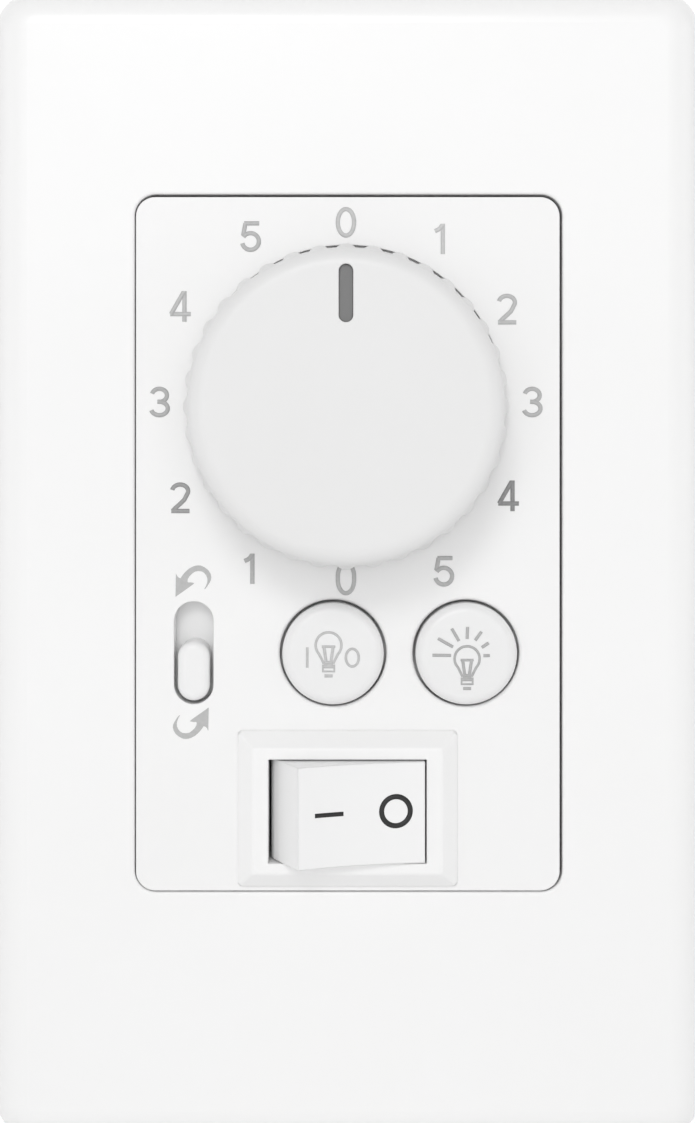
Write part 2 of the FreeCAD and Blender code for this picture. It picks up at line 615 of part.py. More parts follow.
surround = new_body("surround_plate")
raised(surround, "slab", "0", "plate_height", rounded("plate_width", "plate_length", "plate_corner"))
soften(surround, "roll", "Fillet", "plate_edge_round",
       lambda edge: level(edge, value("plate_height")))
cut(surround, "aperture", "0", "plate_height",
    rounded("aperture_width", "aperture_length", "aperture_corner", "aperture_x", "aperture_z"))
cut(surround, "underside", "0", "flange_thick + collar_clear",
    rounded("plate_width - 2 * plate_wall", "plate_length - 2 * plate_wall",
            "plate_corner - plate_wall"))
cut(surround, "cavity", "0", "cavity_top",
    rounded("plate_width - 2 * plate_wall", "plate_length - 2 * plate_wall",
            "plate_corner - plate_wall"),
    rounded("aperture_width + 2 * collar_wall", "aperture_length + 2 * collar_wall",
            "aperture_corner + collar_wall", "aperture_x", "aperture_z"))
soften(surround, "aperture_edge", "Fillet", "aperture_break",
       lambda edge: level(edge, value("plate_height"))
       and reach(edge)[0] < value("aperture_width / 2 + aperture_x + collar_wall")
       and reach(edge)[1] < value("aperture_length / 2 + aperture_z + collar_wall"))
for side in ("-1", "1"):
    for end in ("-1", "1"):
        spot = f"clip_{'left' if side == '-1' else 'right'}_{'low' if end == '-1' else 'high'}"
        raised(surround, spot + "_arm", "clip_lift", "cavity_top",
               rectangle("clip_thick", "clip_width", side + " * clip_x", end + " * clip_z"))
        raised(surround, spot + "_hook", "clip_lift", "clip_ledge - fit_clear",
               rectangle("clip_lip * 2", "clip_width",
                         side + " * (clip_x + clip_thick / 2)", end + " * clip_z"))

# Control panel: fixing flange, hollow raised pad, knob recess, holes for the controls,
# posts for the board and bosses for the housing screws

panel = new_body("control_panel")
raised(panel, "flange", "0", "flange_thick",
       rounded("flange_width", "flange_length", "flange_corner"))
raised(panel, "pad", "flange_thick", "panel_front",
       rounded("panel_width", "panel_length", "panel_corner", "panel_x", "panel_z"))
cut(panel, "hollow", "0", "panel_back",
    rounded("panel_width - 2 * panel_side_wall", "panel_length - 2 * panel_side_wall",
            "panel_corner / 2", "panel_x", "panel_z"))
raised(panel, "bosses", "0", "panel_back",
       *[circle("boss_radius", f"panel_x + {side} * post_x", f"panel_z + {end} * post_z")
         for side in ("-1", "1") for end in ("-1", "1")])
raised(panel, "board_posts", "board_front", "panel_back",
       circle("board_post_radius", "board_post_x", "board_post_z"),
       circle("board_post_radius", "0 - board_post_x", "board_post_z"),
       circle("board_post_radius", "low_post_x", "low_post_z"))
raised(panel, "slide_guide", "shutter_front - shutter_thick", "panel_back",
       rectangle("guide_thick", "shutter_length + slider_travel",
                 "slot_x + shutter_width / 2 + shutter_clear + guide_thick / 2", "slot_z"))
cut(panel, "boss_pilots", "0", "panel_back - boss_roof",
    *[circle("housing_screw_radius + screw_clear",
             f"panel_x + {side} * post_x", f"panel_z + {end} * post_z")
      for side in ("-1", "1") for end in ("-1", "1")])
cut(panel, "post_pilots", "board_front", "board_front + board_screw_length",
    circle("board_screw_radius + screw_clear", "board_post_x", "board_post_z"),
    circle("board_screw_radius + screw_clear", "0 - board_post_x", "board_post_z"),
    circle("board_screw_radius + screw_clear", "low_post_x", "low_post_z"))
cut(panel, "knob_recess", "recess_floor", "panel_front",
    circle("recess_radius", "0", "recess_z"))
cut(panel, "bushing_hole", "panel_back", "recess_floor",
    circle("bushing_radius + bushing_clear", "knob_x", "knob_z"))
cut(panel, "button_holes", "panel_back", "panel_front",
    circle("button_hole", "light_button_x", "button_z"),
    circle("button_hole", "dimmer_button_x", "button_z"))
cut(panel, "slide_slot", "panel_back", "panel_front",
    pill("slot_width", "slot_length", "slot_x", "slot_z"))
cut(panel, "rocker_cutout", "panel_back", "panel_front",
    rectangle("rocker_body_width + 2 * rocker_cutout_clear",
              "rocker_body_length + 2 * rocker_cutout_clear", "rocker_x", "rocker_z"))
cut(panel, "mount_holes", "0", "flange_thick",
    circle("mount_hole_radius", "0", "mount_spacing / 2"),
    circle("mount_hole_radius", "0", "0 - mount_spacing / 2"))
cut(panel, "clip_slots", "0", "flange_thick",
    *[rectangle("clip_thick + clip_lip + 2 * clip_slot_clear", "clip_width + 2 * clip_slot_clear",
                f"{side} * (clip_x + clip_lip / 2)", f"{end} * clip_z")
      for side in ("-1", "1") for end in ("-1", "1")])
cut(panel, "clip_ledges", "0", "clip_ledge",
    *[rectangle("clip_lip * 3", "clip_width + 2 * clip_slot_clear",
                f"{side} * (clip_x + clip_thick / 2 + clip_lip * 1.5)", f"{end} * clip_z")
      for side in ("-1", "1") for end in ("-1", "1")])
soften(panel, "hole_edges", "Fillet", "button_hole_break",
       lambda edge: level(edge, value("panel_front"))
       and hasattr(edge.Curve, "Radius")
       and abs(edge.Curve.Radius - value("button_hole")) < 0.001)

# Rear housing: an open tub behind the panel with screw posts, vents and a wire window

housing = new_body("rear_housing")
raised(housing, "tub", "0 - housing_depth", "0",
       rounded("housing_width", "housing_length", "housing_corner", "panel_x", "panel_z"))
cut(housing, "inside", "housing_wall - housing_depth", "0",
    rounded("housing_width - 2 * housing_wall", "housing_length - 2 * housing_wall",
            "housing_corner - housing_wall", "panel_x", "panel_z"))
raised(housing, "posts", "housing_wall / 2 - housing_depth", "0",
       *[circle("post_radius", f"panel_x + {side} * post_x", f"panel_z + {end} * post_z")
         for side in ("-1", "1") for end in ("-1", "1")])
cut(housing, "post_holes", "0 - housing_depth", "0",
    *[circle("housing_screw_radius + screw_pass",
             f"panel_x + {side} * post_x", f"panel_z + {end} * post_z")
      for side in ("-1", "1") for end in ("-1", "1")])
cut(housing, "post_wells", "0 - housing_depth", "0 - post_land",
    *[circle("counterbore", f"panel_x + {side} * post_x", f"panel_z + {end} * post_z")
      for side in ("-1", "1") for end in ("-1", "1")])
cut(housing, "window", "0 - housing_depth", "housing_wall - housing_depth",
    rectangle("window_width", "window_top - window_bottom", "0",
              "(window_top + window_bottom) / 2"))
cut(housing, "vents", "0 - housing_depth / 2 - vent_length / 2",
    "vent_length / 2 - housing_depth / 2",
    *[rectangle("housing_width * 2", "vent_width", "panel_x",
                f"panel_z + {step} * vent_pitch")
      for step in [n - (value("vent_count") - 1) / 2 for n in range(int(value("vent_count")))]])

# Circuit board with holes for the pins and screws


def ring_spots(count, radius):
    """Places round a circle, from the top, as rules."""
    return [(f"{radius} * sin({n} * 360 / {count})", f"{radius} * cos({n} * 360 / {count})")
            for n in range(int(value(count)))]


rotary_spots = [(f"knob_x + {x}", f"knob_z + {z}")
                for x, z in ring_spots("detent_count", "pin_circle")]
tact_spots = [(f"{key}_button_x + {side} * tact_leg_x", f"button_z + {end} * tact_leg_z")
              for key in ("light", "dimmer") for side in ("-1", "1") for end in ("-1", "1")]
slide_spots = [("slot_x", f"slot_z + {step} * slide_leg_pitch") for step in ("-1", "0", "1")]
rear_spots = [(f"relay_x + {side} * relay_pin_x", f"relay_z + {end} * relay_pin_z")
              for side, end in (("-1", "1"), ("1", "1"), ("-1", "-1"), ("0", "-1"), ("1", "-1"))]
rear_spots += [(f"film_x + {side} * film_pin_x", "film_z") for side in ("-1", "1")]
rear_spots += [("can_x", f"can_z + {side} * can_pin_z") for side in ("-1", "1")]
rear_spots += [("fuse_x", f"fuse_z + {side} * fuse_pin_z") for side in ("-1", "1")]

board = new_body("circuit_board")
raised(board, "sheet", "board_back", "board_front",
       rounded("board_width", "board_top - board_bottom", "board_corner", "0",
               "(board_top + board_bottom) / 2"))
cut(board, "screw_holes", "board_back", "board_front",
    circle("board_screw_radius + screw_pass", "board_post_x", "board_post_z"),
    circle("board_screw_radius + screw_pass", "0 - board_post_x", "board_post_z"),
    circle("board_screw_radius + screw_pass", "low_post_x", "low_post_z"))

cut(board, "pin_holes", "board_back", "board_front",
    *[circle("leg_radius + leg_clear", x, z)
      for x, z in rotary_spots + tact_spots + slide_spots + rear_spots])

# Knob: turned shape with a hollow skirt and a hub, grip lobes round its foot whose front
# ends slope into the smooth wall, ribs inside and a pointer groove

knob = new_body("knob", "knob_x", "knob_z")
turned(knob, "form", "Revolution",
       ("0", "knob_front"), ("knob_side - knob_draft", "knob_front"),
       ("knob_side", "skirt_front"), ("knob_side", "knob_base"),
       ("knob_side - knob_wall", "knob_base"),
       ("knob_side - knob_wall", "skirt_front"),
       ("knob_side - knob_wall - knob_draft", "knob_front - knob_face_wall"),
       ("hub_radius", "knob_front - knob_face_wall"), ("hub_radius", "hub_base"),
       ("0", "hub_base"))
soften(knob, "face_edge", "Fillet", "knob_face_round",
       lambda edge: level(edge, value("knob_front")))
raised(knob, "lobes", "knob_base", "skirt_front",
       *[circle("lobe_radius", f"(knob_radius - lobe_radius) * sin({n} * 360 / lobe_count)",
                f"(knob_radius - lobe_radius) * cos({n} * 360 / lobe_count)")
         for n in range(int(value("lobe_count")))])
turned(knob, "lobe_ends", "Groove",
       ("knob_side", "skirt_front"), ("knob_radius + lobe_step", "skirt_front"),
       ("knob_radius + lobe_step", "skirt_front - lobe_slope"),
       ("knob_radius", "skirt_front - lobe_slope"))
cut(knob, "lobe_insides", "knob_base", "skirt_front", circle("knob_side - knob_wall"))
rib = raised(knob, "rib", "knob_front - knob_face_wall - rib_height",
             "knob_front - knob_face_wall + rib_root",
             rectangle("rib_end - hub_radius + rib_root", "rib_thick",
                       "(rib_end + hub_radius - rib_root) / 2", "0"))
around(knob, "ribs", rib, "rib_count")
cut(knob, "bore", "hub_base", "shaft_front + run_clear",
    d_shape("fit_clear"))
cut(knob, "pointer_groove", "knob_front - pointer_depth", "knob_front",
    pill("pointer_width", "pointer_outer - pointer_inner", "0",
         "(pointer_outer + pointer_inner) / 2"))

# Pointer: grey inlay with round ends in the knob's groove

pointer = new_body("knob_pointer", "knob_x", "knob_z")
raised(pointer, "inlay", "knob_front - pointer_depth", "knob_front - pointer_sunk",
       pill("pointer_width - 2 * fit_clear", "pointer_outer - pointer_inner - 2 * fit_clear", "0",
            "(pointer_outer + pointer_inner) / 2"))

# Rotary switch: contact base on the board, cover with detent notches, threaded bushing,
# nut and washer in front of the panel, and the D shaft with its rotor

base = new_body("rotary_base", "knob_x", "knob_z")
raised(base, "wafer", "board_front", "board_front + rotary_base_thick",
       circle("rotary_radius"))
cut(base, "centre", "board_front", "board_front + rotary_base_thick",
    circle("shaft_radius / 2 + run_clear"))

cover = new_body("rotary_cover", "knob_x", "knob_z")
raised(cover, "cup", "board_front + rotary_base_thick", "panel_back", circle("rotary_radius"))
cut(cover, "chamber", "board_front + rotary_base_thick", "panel_back - rotary_wall",
    circle("rotary_radius - rotary_wall - detent_radius / 2"))
notch = cut(cover, "notch", "board_front + rotary_base_thick", "panel_back - rotary_wall",
            circle("detent_radius", "0", "rotary_radius - rotary_wall - detent_radius / 2"))
around(cover, "notches", notch, "detent_count")
cut(cover, "bushing_seat", "panel_back - rotary_wall", "panel_back",
    circle("bushing_radius + fit_clear"))

bushing = new_body("shaft_bushing", "knob_x", "knob_z")
raised(bushing, "tube", "panel_back - rotary_wall", "bushing_front", circle("bushing_radius"))
cut(bushing, "bore", "panel_back - rotary_wall", "bushing_front",
    circle("shaft_radius + run_clear"))

shaft = new_body("switch_shaft", "knob_x", "knob_z")
raised(shaft, "bar", "rotor_base", "hub_base", circle("shaft_radius"))
raised(shaft, "driven_end", "hub_base", "shaft_front", d_shape("0"))
raised(shaft, "tail", "board_front + tail_clear", "rotor_base", circle("shaft_radius / 2"))
raised(shaft, "rotor", "rotor_base", "rotor_base + rotor_thick", circle("rotor_radius"))
raised(shaft, "detent_nose", "rotor_base", "rotor_base + rotor_thick",
       circle("detent_radius - detent_play", "0", "rotor_radius"))

washer = new_body("bushing_washer", "knob_x", "knob_z")
raised(washer, "ring", "recess_floor", "recess_floor + washer_thick", circle("washer_radius"))
cut(washer, "hole", "recess_floor", "recess_floor + washer_thick",
    circle("bushing_radius + bushing_clear"))

nut = new_body("bushing_nut", "knob_x", "knob_z")
nut_points = [(f"nut_flats / 2 / cos(30) * cos({60 * n})", f"nut_flats / 2 / cos(30) * sin({60 * n})")
              for n in range(6)]
raised(nut, "hexagon", "recess_floor + washer_thick",
       "recess_floor + washer_thick + nut_thick", outline(*nut_points))
cut(nut, "thread", "recess_floor + washer_thick", "recess_floor + washer_thick + nut_thick",
    circle("bushing_radius + fit_clear"))


def pins(label, spots, low="board_back - leg_out", high="board_front"):
    """Soldered pins through the board, from a switch's base to just behind the board."""
    return group(label, [rod(value("leg_radius"), value(low), value(high), value(x), value(z))
                         for x, z in spots])


pins("rotary_pins", rotary_spots)

# Push buttons: caps with a retaining flange over a stem, each on its tact switch

for key in ("light", "dimmer"):
    cap = new_body(key + "_button", key + "_button_x", "button_z")
    raised(cap, "cap", "panel_back - button_flange_thick", "panel_front + button_proud",
           circle("button_radius"))
    raised(cap, "flange", "panel_back - button_flange_thick", "panel_back",
           circle("button_flange"))
    soften(cap, "edge", "Fillet", "button_round",
           lambda edge: level(edge, value("button_front")))
    cut(cap, "hollow", "panel_back - button_flange_thick", "button_front - button_wall",
        circle("button_radius - button_wall"))
    raised(cap, "stem", "plunger_front", "button_front - button_wall / 2", circle("button_stem"))

    tact = new_body(key + "_tact_switch", key + "_button_x", "button_z")
    raised(tact, "case", "board_front", "board_front + tact_height",
           rectangle("tact_size", "tact_size"))
    cut(tact, "well", "board_front + tact_height - tact_well", "board_front + tact_height",
        circle("tact_plunger + run_clear"))

    plunger = new_body(key + "_tact_plunger", key + "_button_x", "button_z")
    raised(plunger, "button", "board_front + tact_height - tact_well + 2 * press_travel",
           "plunger_front", circle("tact_plunger"))

pins("tact_switch_legs", tact_spots)

# Reverse slide: finger pill, shutter and fork in one piece, over a slide switch

slider = new_body("reverse_slider", "slot_x", "slider_rest_z")
raised(slider, "shutter", "shutter_front - shutter_thick", "shutter_front",
       rectangle("shutter_width", "shutter_length"))
raised(slider, "pill", "shutter_front - shutter_thick / 2", "panel_front + slider_proud",
       pill("slider_width", "slider_length"))
soften(slider, "pill_edge", "Fillet", "slider_round",
       lambda edge: level(edge, value("panel_front + slider_proud")))
raised(slider, "fork", "slide_body_front + fork_clear", "shutter_front - shutter_thick / 2",
       rectangle("fork_width", "fork_length"))
cut(slider, "fork_slot", "slide_body_front + fork_clear",
    "slide_body_front + lever_height + lever_clear",
    rectangle("lever_width + 2 * lever_clear", "lever_length + 2 * lever_clear"))

slide_switch = new_body("slide_switch", "slot_x", "slot_z")
raised(slide_switch, "case", "board_front", "slide_body_front",
       rectangle("slide_body_width", "slide_body_length"))
cut(slide_switch, "window", "slide_body_front - slide_well", "slide_body_front",
    rectangle("lever_width + 2 * lever_clear",
              "lever_length + slider_travel + 2 * lever_clear"))

lever = new_body("slide_switch_lever", "slot_x", "slider_rest_z")
raised(lever, "lever", "slide_body_front - slide_well + lever_clear",
       "slide_body_front + lever_height", rectangle("lever_width", "lever_length"))

pins("slide_switch_legs", slide_spots)

# Rocker switch: bezel and body in one moulding, rocker on two trunnions, spade terminals

frame = new_body("rocker_housing", "rocker_x", "rocker_z")
raised(frame, "bezel", "panel_front", "bezel_front",
       rectangle("bezel_width", "bezel_length"))
soften(frame, "bevel", "Chamfer", "bezel_bevel", lambda edge: level(edge, value("bezel_front")))
soften(frame, "corners", "Fillet", "bezel_corner",
       lambda edge: not level(edge, -edge.BoundBox.YMin))
soften(frame, "front_edge", "Fillet", "bezel_soft",
       lambda edge: level(edge, value("bezel_front")))
raised(frame, "case", "rocker_low", "panel_front",
       rectangle("rocker_body_width", "rocker_body_length"))
cut(frame, "mouth", "rocker_low + rocker_floor", "bezel_front",
    rectangle("mouth_width", "mouth_length"))
cut(frame, "trunnion_holes", "0 - mouth_length / 2 - trunnion_length - fit_clear",
    "mouth_length / 2 + trunnion_length + fit_clear",
    circle("trunnion_radius + run_clear", "0", "0 - rocker_pivot"), plane="XY_Plane")
for side in ("-1", "1"):
    raised(frame, "lug_left" if side == "-1" else "lug_right",
           "0 - lug_length / 2", "lug_length / 2",
           outline((f"{side} * (rocker_body_width / 2 - lug_root)", "0 - panel_back + fit_clear"),
                   (f"{side} * (rocker_body_width / 2 + lug_reach)", "0 - panel_back + fit_clear"),
                   (f"{side} * rocker_body_width / 2", "lug_drop - panel_back"),
                   (f"{side} * (rocker_body_width / 2 - lug_root)", "lug_drop - panel_back")),
           plane="XY_Plane")
cut(frame, "spade_slots", "rocker_low", "rocker_low + rocker_floor",
    rectangle("spade_thick + 2 * run_clear", "spade_width + 2 * run_clear"),
    rectangle("spade_thick + 2 * run_clear", "spade_width + 2 * run_clear",
              "contact_half - spade_thick"))

rocker = new_body("rocker", "rocker_x", "rocker_z", "rocker_pivot")
raised(rocker, "form", "0 - rocker_half_length", "rocker_half_length",
       outline(("0", "0 - rocker_top + rocker_top_half * tan(rocker_dish)"),
               ("rocker_top_half", "0 - rocker_top"), ("rocker_low_half", "0"),
               ("rocker_low_half", "rocker_skirt"), ("0 - rocker_low_half", "rocker_skirt"),
               ("0 - rocker_low_half", "0"), ("0 - rocker_top_half", "0 - rocker_top")),
       plane="XY_Plane")
soften(rocker, "valley", "Fillet", "rocker_valley",
       lambda edge: level(edge, value("rocker_top - rocker_top_half * tan(rocker_dish)")))
for side in ("-1", "1"):
    cut(rocker, "hollow_left" if side == "-1" else "hollow_right",
        "0 - rocker_skirt", "rocker_top - rocker_top_half * tan(rocker_dish) - rocker_wall",
        rectangle("rocker_top_half - rocker_wall - spring_tube",
                  "2 * (rocker_half_length - rocker_wall)",
                  f"{side} * (rocker_top_half - rocker_wall + spring_tube) / 2", "0"))
raised(rocker, "spring_tube", "0 - spring_tube_drop", "0", circle("spring_tube"))
raised(rocker, "trunnions", "0 - rocker_half_length - rocker_side_clear - trunnion_length",
       "rocker_half_length + rocker_side_clear + trunnion_length",
       circle("trunnion_radius"), plane="XY_Plane")
cut(rocker, "spring_bore", "0 - spring_tube_drop", "spring_bore_rise", circle("spring_bore"))


# Inside the rocker switch: spring and plunger in the rocker's tube, a seesaw contact on
# the middle terminal's edge and the terminal that it closes on

plunger = new_body("rocker_plunger", "rocker_x", "rocker_z", "rocker_pivot")
raised(plunger, "pin", "0 - plunger_reach", "spring_bore_rise - spring_length - fit_clear",
       circle("spring_bore - run_clear"))
soften(plunger, "tip", "Fillet", "spring_bore - run_clear - plunger_flat",
       lambda edge: level(edge, value("0 - plunger_reach")))
spring = new_body("rocker_spring", "rocker_x", "rocker_z", "rocker_pivot")
raised(spring, "coil", "spring_bore_rise - spring_length", "spring_bore_rise",
       circle("spring_bore - run_clear"), circle("spring_bore - run_clear - spring_wall"))
contact = new_body("rocker_contact", "rocker_x", "rocker_z", "contact_pivot")
raised(contact, "blade", "0 - contact_width / 2", "contact_width / 2",
       outline(("0", "0 - fit_clear"),
               ("contact_half", "0 - fit_clear - contact_half * tan(contact_dish)"),
               ("contact_half", "0 - contact_thick - contact_half * tan(contact_dish)"),
               ("0", "0 - contact_thick"),
               ("0 - contact_half", "0 - contact_thick - contact_half * tan(contact_dish)"),
               ("0 - contact_half", "0 - fit_clear - contact_half * tan(contact_dish)")),
       plane="XY_Plane")
for leaning, lean in ((plunger, "rocker_tilt"), (spring, "rocker_tilt"), (rocker, "rocker_tilt"),
                      (contact, "0 - contact_tilt")):
    leaning.Placement.Rotation = FreeCAD.Rotation(Vector(0, 0, 1), value(lean))
    leaning.setExpression(".Placement.Rotation.Angle", bind(lean))


def spade(place, top):
    """A flat terminal through the switch floor, with a hole near its end."""
    thick, width = value("spade_thick"), value("spade_width")
    low = value("rocker_low - spade_length")
    blade = Part.makeBox(thick, value(top) - low, width, Vector(place - thick / 2, -value(top), -width / 2))
    hole = Part.makeCylinder(value("spade_hole"), 2 * thick,
                             Vector(place - thick, -low - value("spade_width") / 2, 0), Vector(1, 0, 0))
    return blade.cut(hole)


group("rocker_terminals",
      [spade(0, "contact_pivot"),
       spade(value("contact_half - spade_thick"),
             "contact_pivot + (contact_half - 1.5 * spade_thick)"
             " * tan(contact_dish - contact_tilt) - contact_gap")],
      "rocker_x", "rocker_z")

# What the board carries behind: terminal block with clamp screws, relay, capacitors,
# fuse and controller chip


def board_box(label, width, length, tall, x, z):
    """A moulded box standing on the back of the board."""
    box = new_body(label, x, z)
    raised(box, "case", f"part_seat - {tall}", "part_seat",
           rounded(width, length, "part_round"))
    return box


block = new_body("terminal_block", "0", "block_z")
raised(block, "case", "part_seat - block_height", "part_seat",
       rectangle("block_ways * block_pitch", "block_length"))
ways = int(value("block_ways"))
way_places = [f"({n} - (block_ways - 1) / 2) * block_pitch" for n in range(ways)]
cut(block, "wire_holes", "0 - block_length / 2", "wire_hole_depth - block_length / 2",
    *[rectangle("wire_hole", "wire_hole", place, "block_height / 2 - part_seat")
      for place in way_places], plane="XY_Plane")
cut(block, "screw_wells", "part_seat - block_height", "part_seat - block_height + clamp_well",
    *[circle("clamp_screw_radius + clamp_well_clear", place, "0") for place in way_places])
clamp_low = value("part_seat - block_height + clamp_well - clamp_screw_height")
clamp_screws = []
for place in way_places:
    head = rod(value("clamp_screw_radius"), clamp_low, clamp_low + value("clamp_screw_height"),
               value(place))
    groove = Part.makeBox(4 * value("clamp_screw_radius"), value("clamp_groove"), value("clamp_groove"),
                          Vector(value(place) - 2 * value("clamp_screw_radius"),
                                 -clamp_low - value("clamp_groove"), -value("clamp_groove") / 2))
    clamp_screws.append(head.cut(groove))
group("terminal_screws", clamp_screws, "0", "block_z")

board_box("relay", "relay_width", "relay_length", "relay_height", "relay_x", "relay_z")
board_box("supply_capacitor", "film_width", "film_length", "film_height", "film_x", "film_z")
board_box("controller_chip", "chip_width", "chip_length", "chip_height", "chip_x", "chip_z")
can = new_body("smoothing_capacitor", "can_x", "can_z")
raised(can, "can", "part_seat - can_height", "part_seat",
       circle("can_radius"))
fuse = new_body("fuse", "fuse_x", "fuse_z")
raised(fuse, "body", "part_seat - fuse_height", "part_seat",
       circle("fuse_radius"))
pins("component_pins", rear_spots, "part_seat", "board_front - leg_sunk")


def gull_leg(side, place):
    """A chip leg: out of the side at half height, down to the board and out along it."""
    thick, width = value("chip_leg_thick"), value("chip_leg_width")
    root, end = value("chip_width / 2"), value("chip_width / 2 + chip_leg_reach")
    knee = value("chip_width / 2 + chip_leg_reach - chip_foot")
    middle, foot = value("part_seat - chip_height / 2"), value("board_back - fit_clear")
    corners = [(root, middle + thick / 2), (knee - thick, middle + thick / 2),
               (knee - thick, foot), (end, foot), (end, foot - thick), (knee, foot - thick),
               (knee, middle - thick / 2), (root, middle - thick / 2)]
    path = [Vector(side * x, -height, place - width / 2) for x, height in corners]
    return Part.Face(Part.makePolygon(path + path[:1])).extrude(Vector(0, 0, width))


leg_places = [value(f"({n} - (chip_leg_count - 1) / 2) * chip_leg_pitch")
              for n in range(int(value("chip_leg_count")))]
group("chip_legs", [gull_leg(side, place) for side in (-1, 1) for place in leg_places],
      "chip_x", "chip_z")

# Screws: three hold the board to the panel's posts, four hold the rear housing


def screw(shank, head, length, seat, x, z):
    """A pan-head screw whose head sits behind a seat height and points forward."""
    height = value("screw_head_height")
    return rod(shank, seat, seat + length, x, z).fuse(rod(head, seat - height, seat, x, z))


post_x, post_z = value("board_post_x"), value("board_post_z")
board_posts = [(post_x, post_z), (-post_x, post_z), (value("low_post_x"), value("low_post_z"))]
group("board_screws",
      [screw(value("board_screw_radius"), value("board_screw_head"),
             value("board_screw_length + board_thick - screw_end_clear"), value("board_back"), x, z)
       for x, z in board_posts])
housing_posts = [(value("panel_x") + side * value("post_x"), value("panel_z") + end * value("post_z"))
                 for side in (-1, 1) for end in (-1, 1)]
group("housing_screws",
      [screw(value("housing_screw_radius"), value("housing_screw_head"),
             value("housing_screw_length"), value("0 - post_land"), x, z)
       for x, z in housing_posts])

# Check every object, then write one file for each piece

doc.recompute()
pieces = [item for item in doc.Objects
          if item.TypeId == "PartDesign::Body" or item.TypeId == "Part::Feature"]
for item in doc.Objects:
    if "Invalid" in item.State or "Error" in item.State:
        raise RuntimeError(f"{item.Name} failed: {item.State}")
for item in pieces:
    if item.Shape.isNull() or not item.Shape.isValid():
        raise RuntimeError(f"{item.Label} has no valid shape")
os.makedirs("parts", exist_ok=True)
for item in pieces:
    item.Shape.exportStep(f"parts/{item.Label}.step")
    print(item.Label, len(item.Shape.Solids), round(item.Shape.Volume, 1))
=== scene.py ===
import math
import random

import bmesh
import bpy
from mathutils import Matrix, Vector


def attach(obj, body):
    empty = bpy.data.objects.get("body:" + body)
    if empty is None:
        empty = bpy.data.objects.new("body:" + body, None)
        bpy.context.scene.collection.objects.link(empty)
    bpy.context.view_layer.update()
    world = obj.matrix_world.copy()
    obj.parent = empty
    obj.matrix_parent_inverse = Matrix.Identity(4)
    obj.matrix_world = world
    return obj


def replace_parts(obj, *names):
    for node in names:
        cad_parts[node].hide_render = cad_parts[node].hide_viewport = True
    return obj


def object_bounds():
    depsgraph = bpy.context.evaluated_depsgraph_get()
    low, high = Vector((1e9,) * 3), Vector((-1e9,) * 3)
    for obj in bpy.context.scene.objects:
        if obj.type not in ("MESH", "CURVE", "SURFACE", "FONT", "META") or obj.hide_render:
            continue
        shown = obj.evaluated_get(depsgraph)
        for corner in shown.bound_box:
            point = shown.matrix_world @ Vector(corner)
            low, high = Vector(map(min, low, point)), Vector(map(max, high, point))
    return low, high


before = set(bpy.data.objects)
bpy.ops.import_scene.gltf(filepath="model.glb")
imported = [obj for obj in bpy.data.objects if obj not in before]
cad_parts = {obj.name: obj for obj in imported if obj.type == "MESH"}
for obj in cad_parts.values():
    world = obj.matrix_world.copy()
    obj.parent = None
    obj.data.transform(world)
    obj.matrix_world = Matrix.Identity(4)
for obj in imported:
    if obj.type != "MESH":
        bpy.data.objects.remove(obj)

MM = 0.001               # metres in a millimetre
cad_low, cad_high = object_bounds()

# The view
# The camera stands 200 mm in front of the wall, at the height of the knob's axis, and looks
# straight at the wall. A shifted lens brings the whole plate into the frame.

photo_height_pixels = 1123
focal_length_pixels = 1944
frame_shift = -0.1438
camera_distance = 200 * MM
camera_height = 16.4 * MM

camera_lens = bpy.data.cameras.new("camera")
camera_lens.sensor_width = 36
camera_lens.lens = camera_lens.sensor_width * focal_length_pixels / photo_height_pixels
camera_lens.shift_y = frame_shift
camera_lens.clip_start = 0.01
camera = bpy.data.objects.new("camera", camera_lens)
camera.location = (0.0, -camera_distance, camera_height)
camera.rotation_euler = (math.pi / 2, 0, 0)
bpy.context.scene.collection.objects.link(camera)
bpy.context.scene.camera = camera

# The studio
# A pale floor that sweeps up behind the control, a small key lamp above the camera, a large
# softbox behind it, weak ones below and at both sides, and an even white surround.

bpy.context.scene.view_settings.view_transform = "Standard"


def softbox(name, place, width, watts):
    """A square lamp that faces the middle of the control."""
    lamp = bpy.data.lights.new(name, "AREA")
    lamp.size = width
    lamp.energy = watts
    stand = bpy.data.objects.new(name, lamp)
    stand.location = place
    stand.rotation_euler = (-Vector(place)).to_track_quat("-Z", "Y").to_euler()
    bpy.context.scene.collection.objects.link(stand)


softbox("key_lamp", (-0.08, -0.80, 0.40), 0.20, 1.2)
softbox("front_softbox", (-0.05, -0.90, 0.10), 0.80, 2.35)
softbox("low_softbox", (0.0, -0.35, -0.60), 0.50, 1.0)
softbox("left_softbox", (-0.75, -0.22, 0.05), 0.50, 0.5)
softbox("right_softbox", (0.75, -0.22, 0.05), 0.50, 0.6)

surround_strength = 0.59
background_strength = 1.0

surround_light = bpy.data.worlds.new("studio")
surround_light.use_nodes = True
bpy.context.scene.world = surround_light
sky = surround_light.node_tree
sky_level = sky.nodes.new("ShaderNodeMapRange")
sky_level.inputs["To Min"].default_value = surround_strength
sky_level.inputs["To Max"].default_value = background_strength
seen_by = sky.nodes.new("ShaderNodeLightPath")
sky.links.new(seen_by.outputs["Is Camera Ray"], sky_level.inputs["Value"])
sky.links.new(sky_level.outputs["Result"], sky.nodes["Background"].inputs["Strength"])
sky.nodes["Background"].inputs["Color"].default_value = (1, 1, 1, 1)


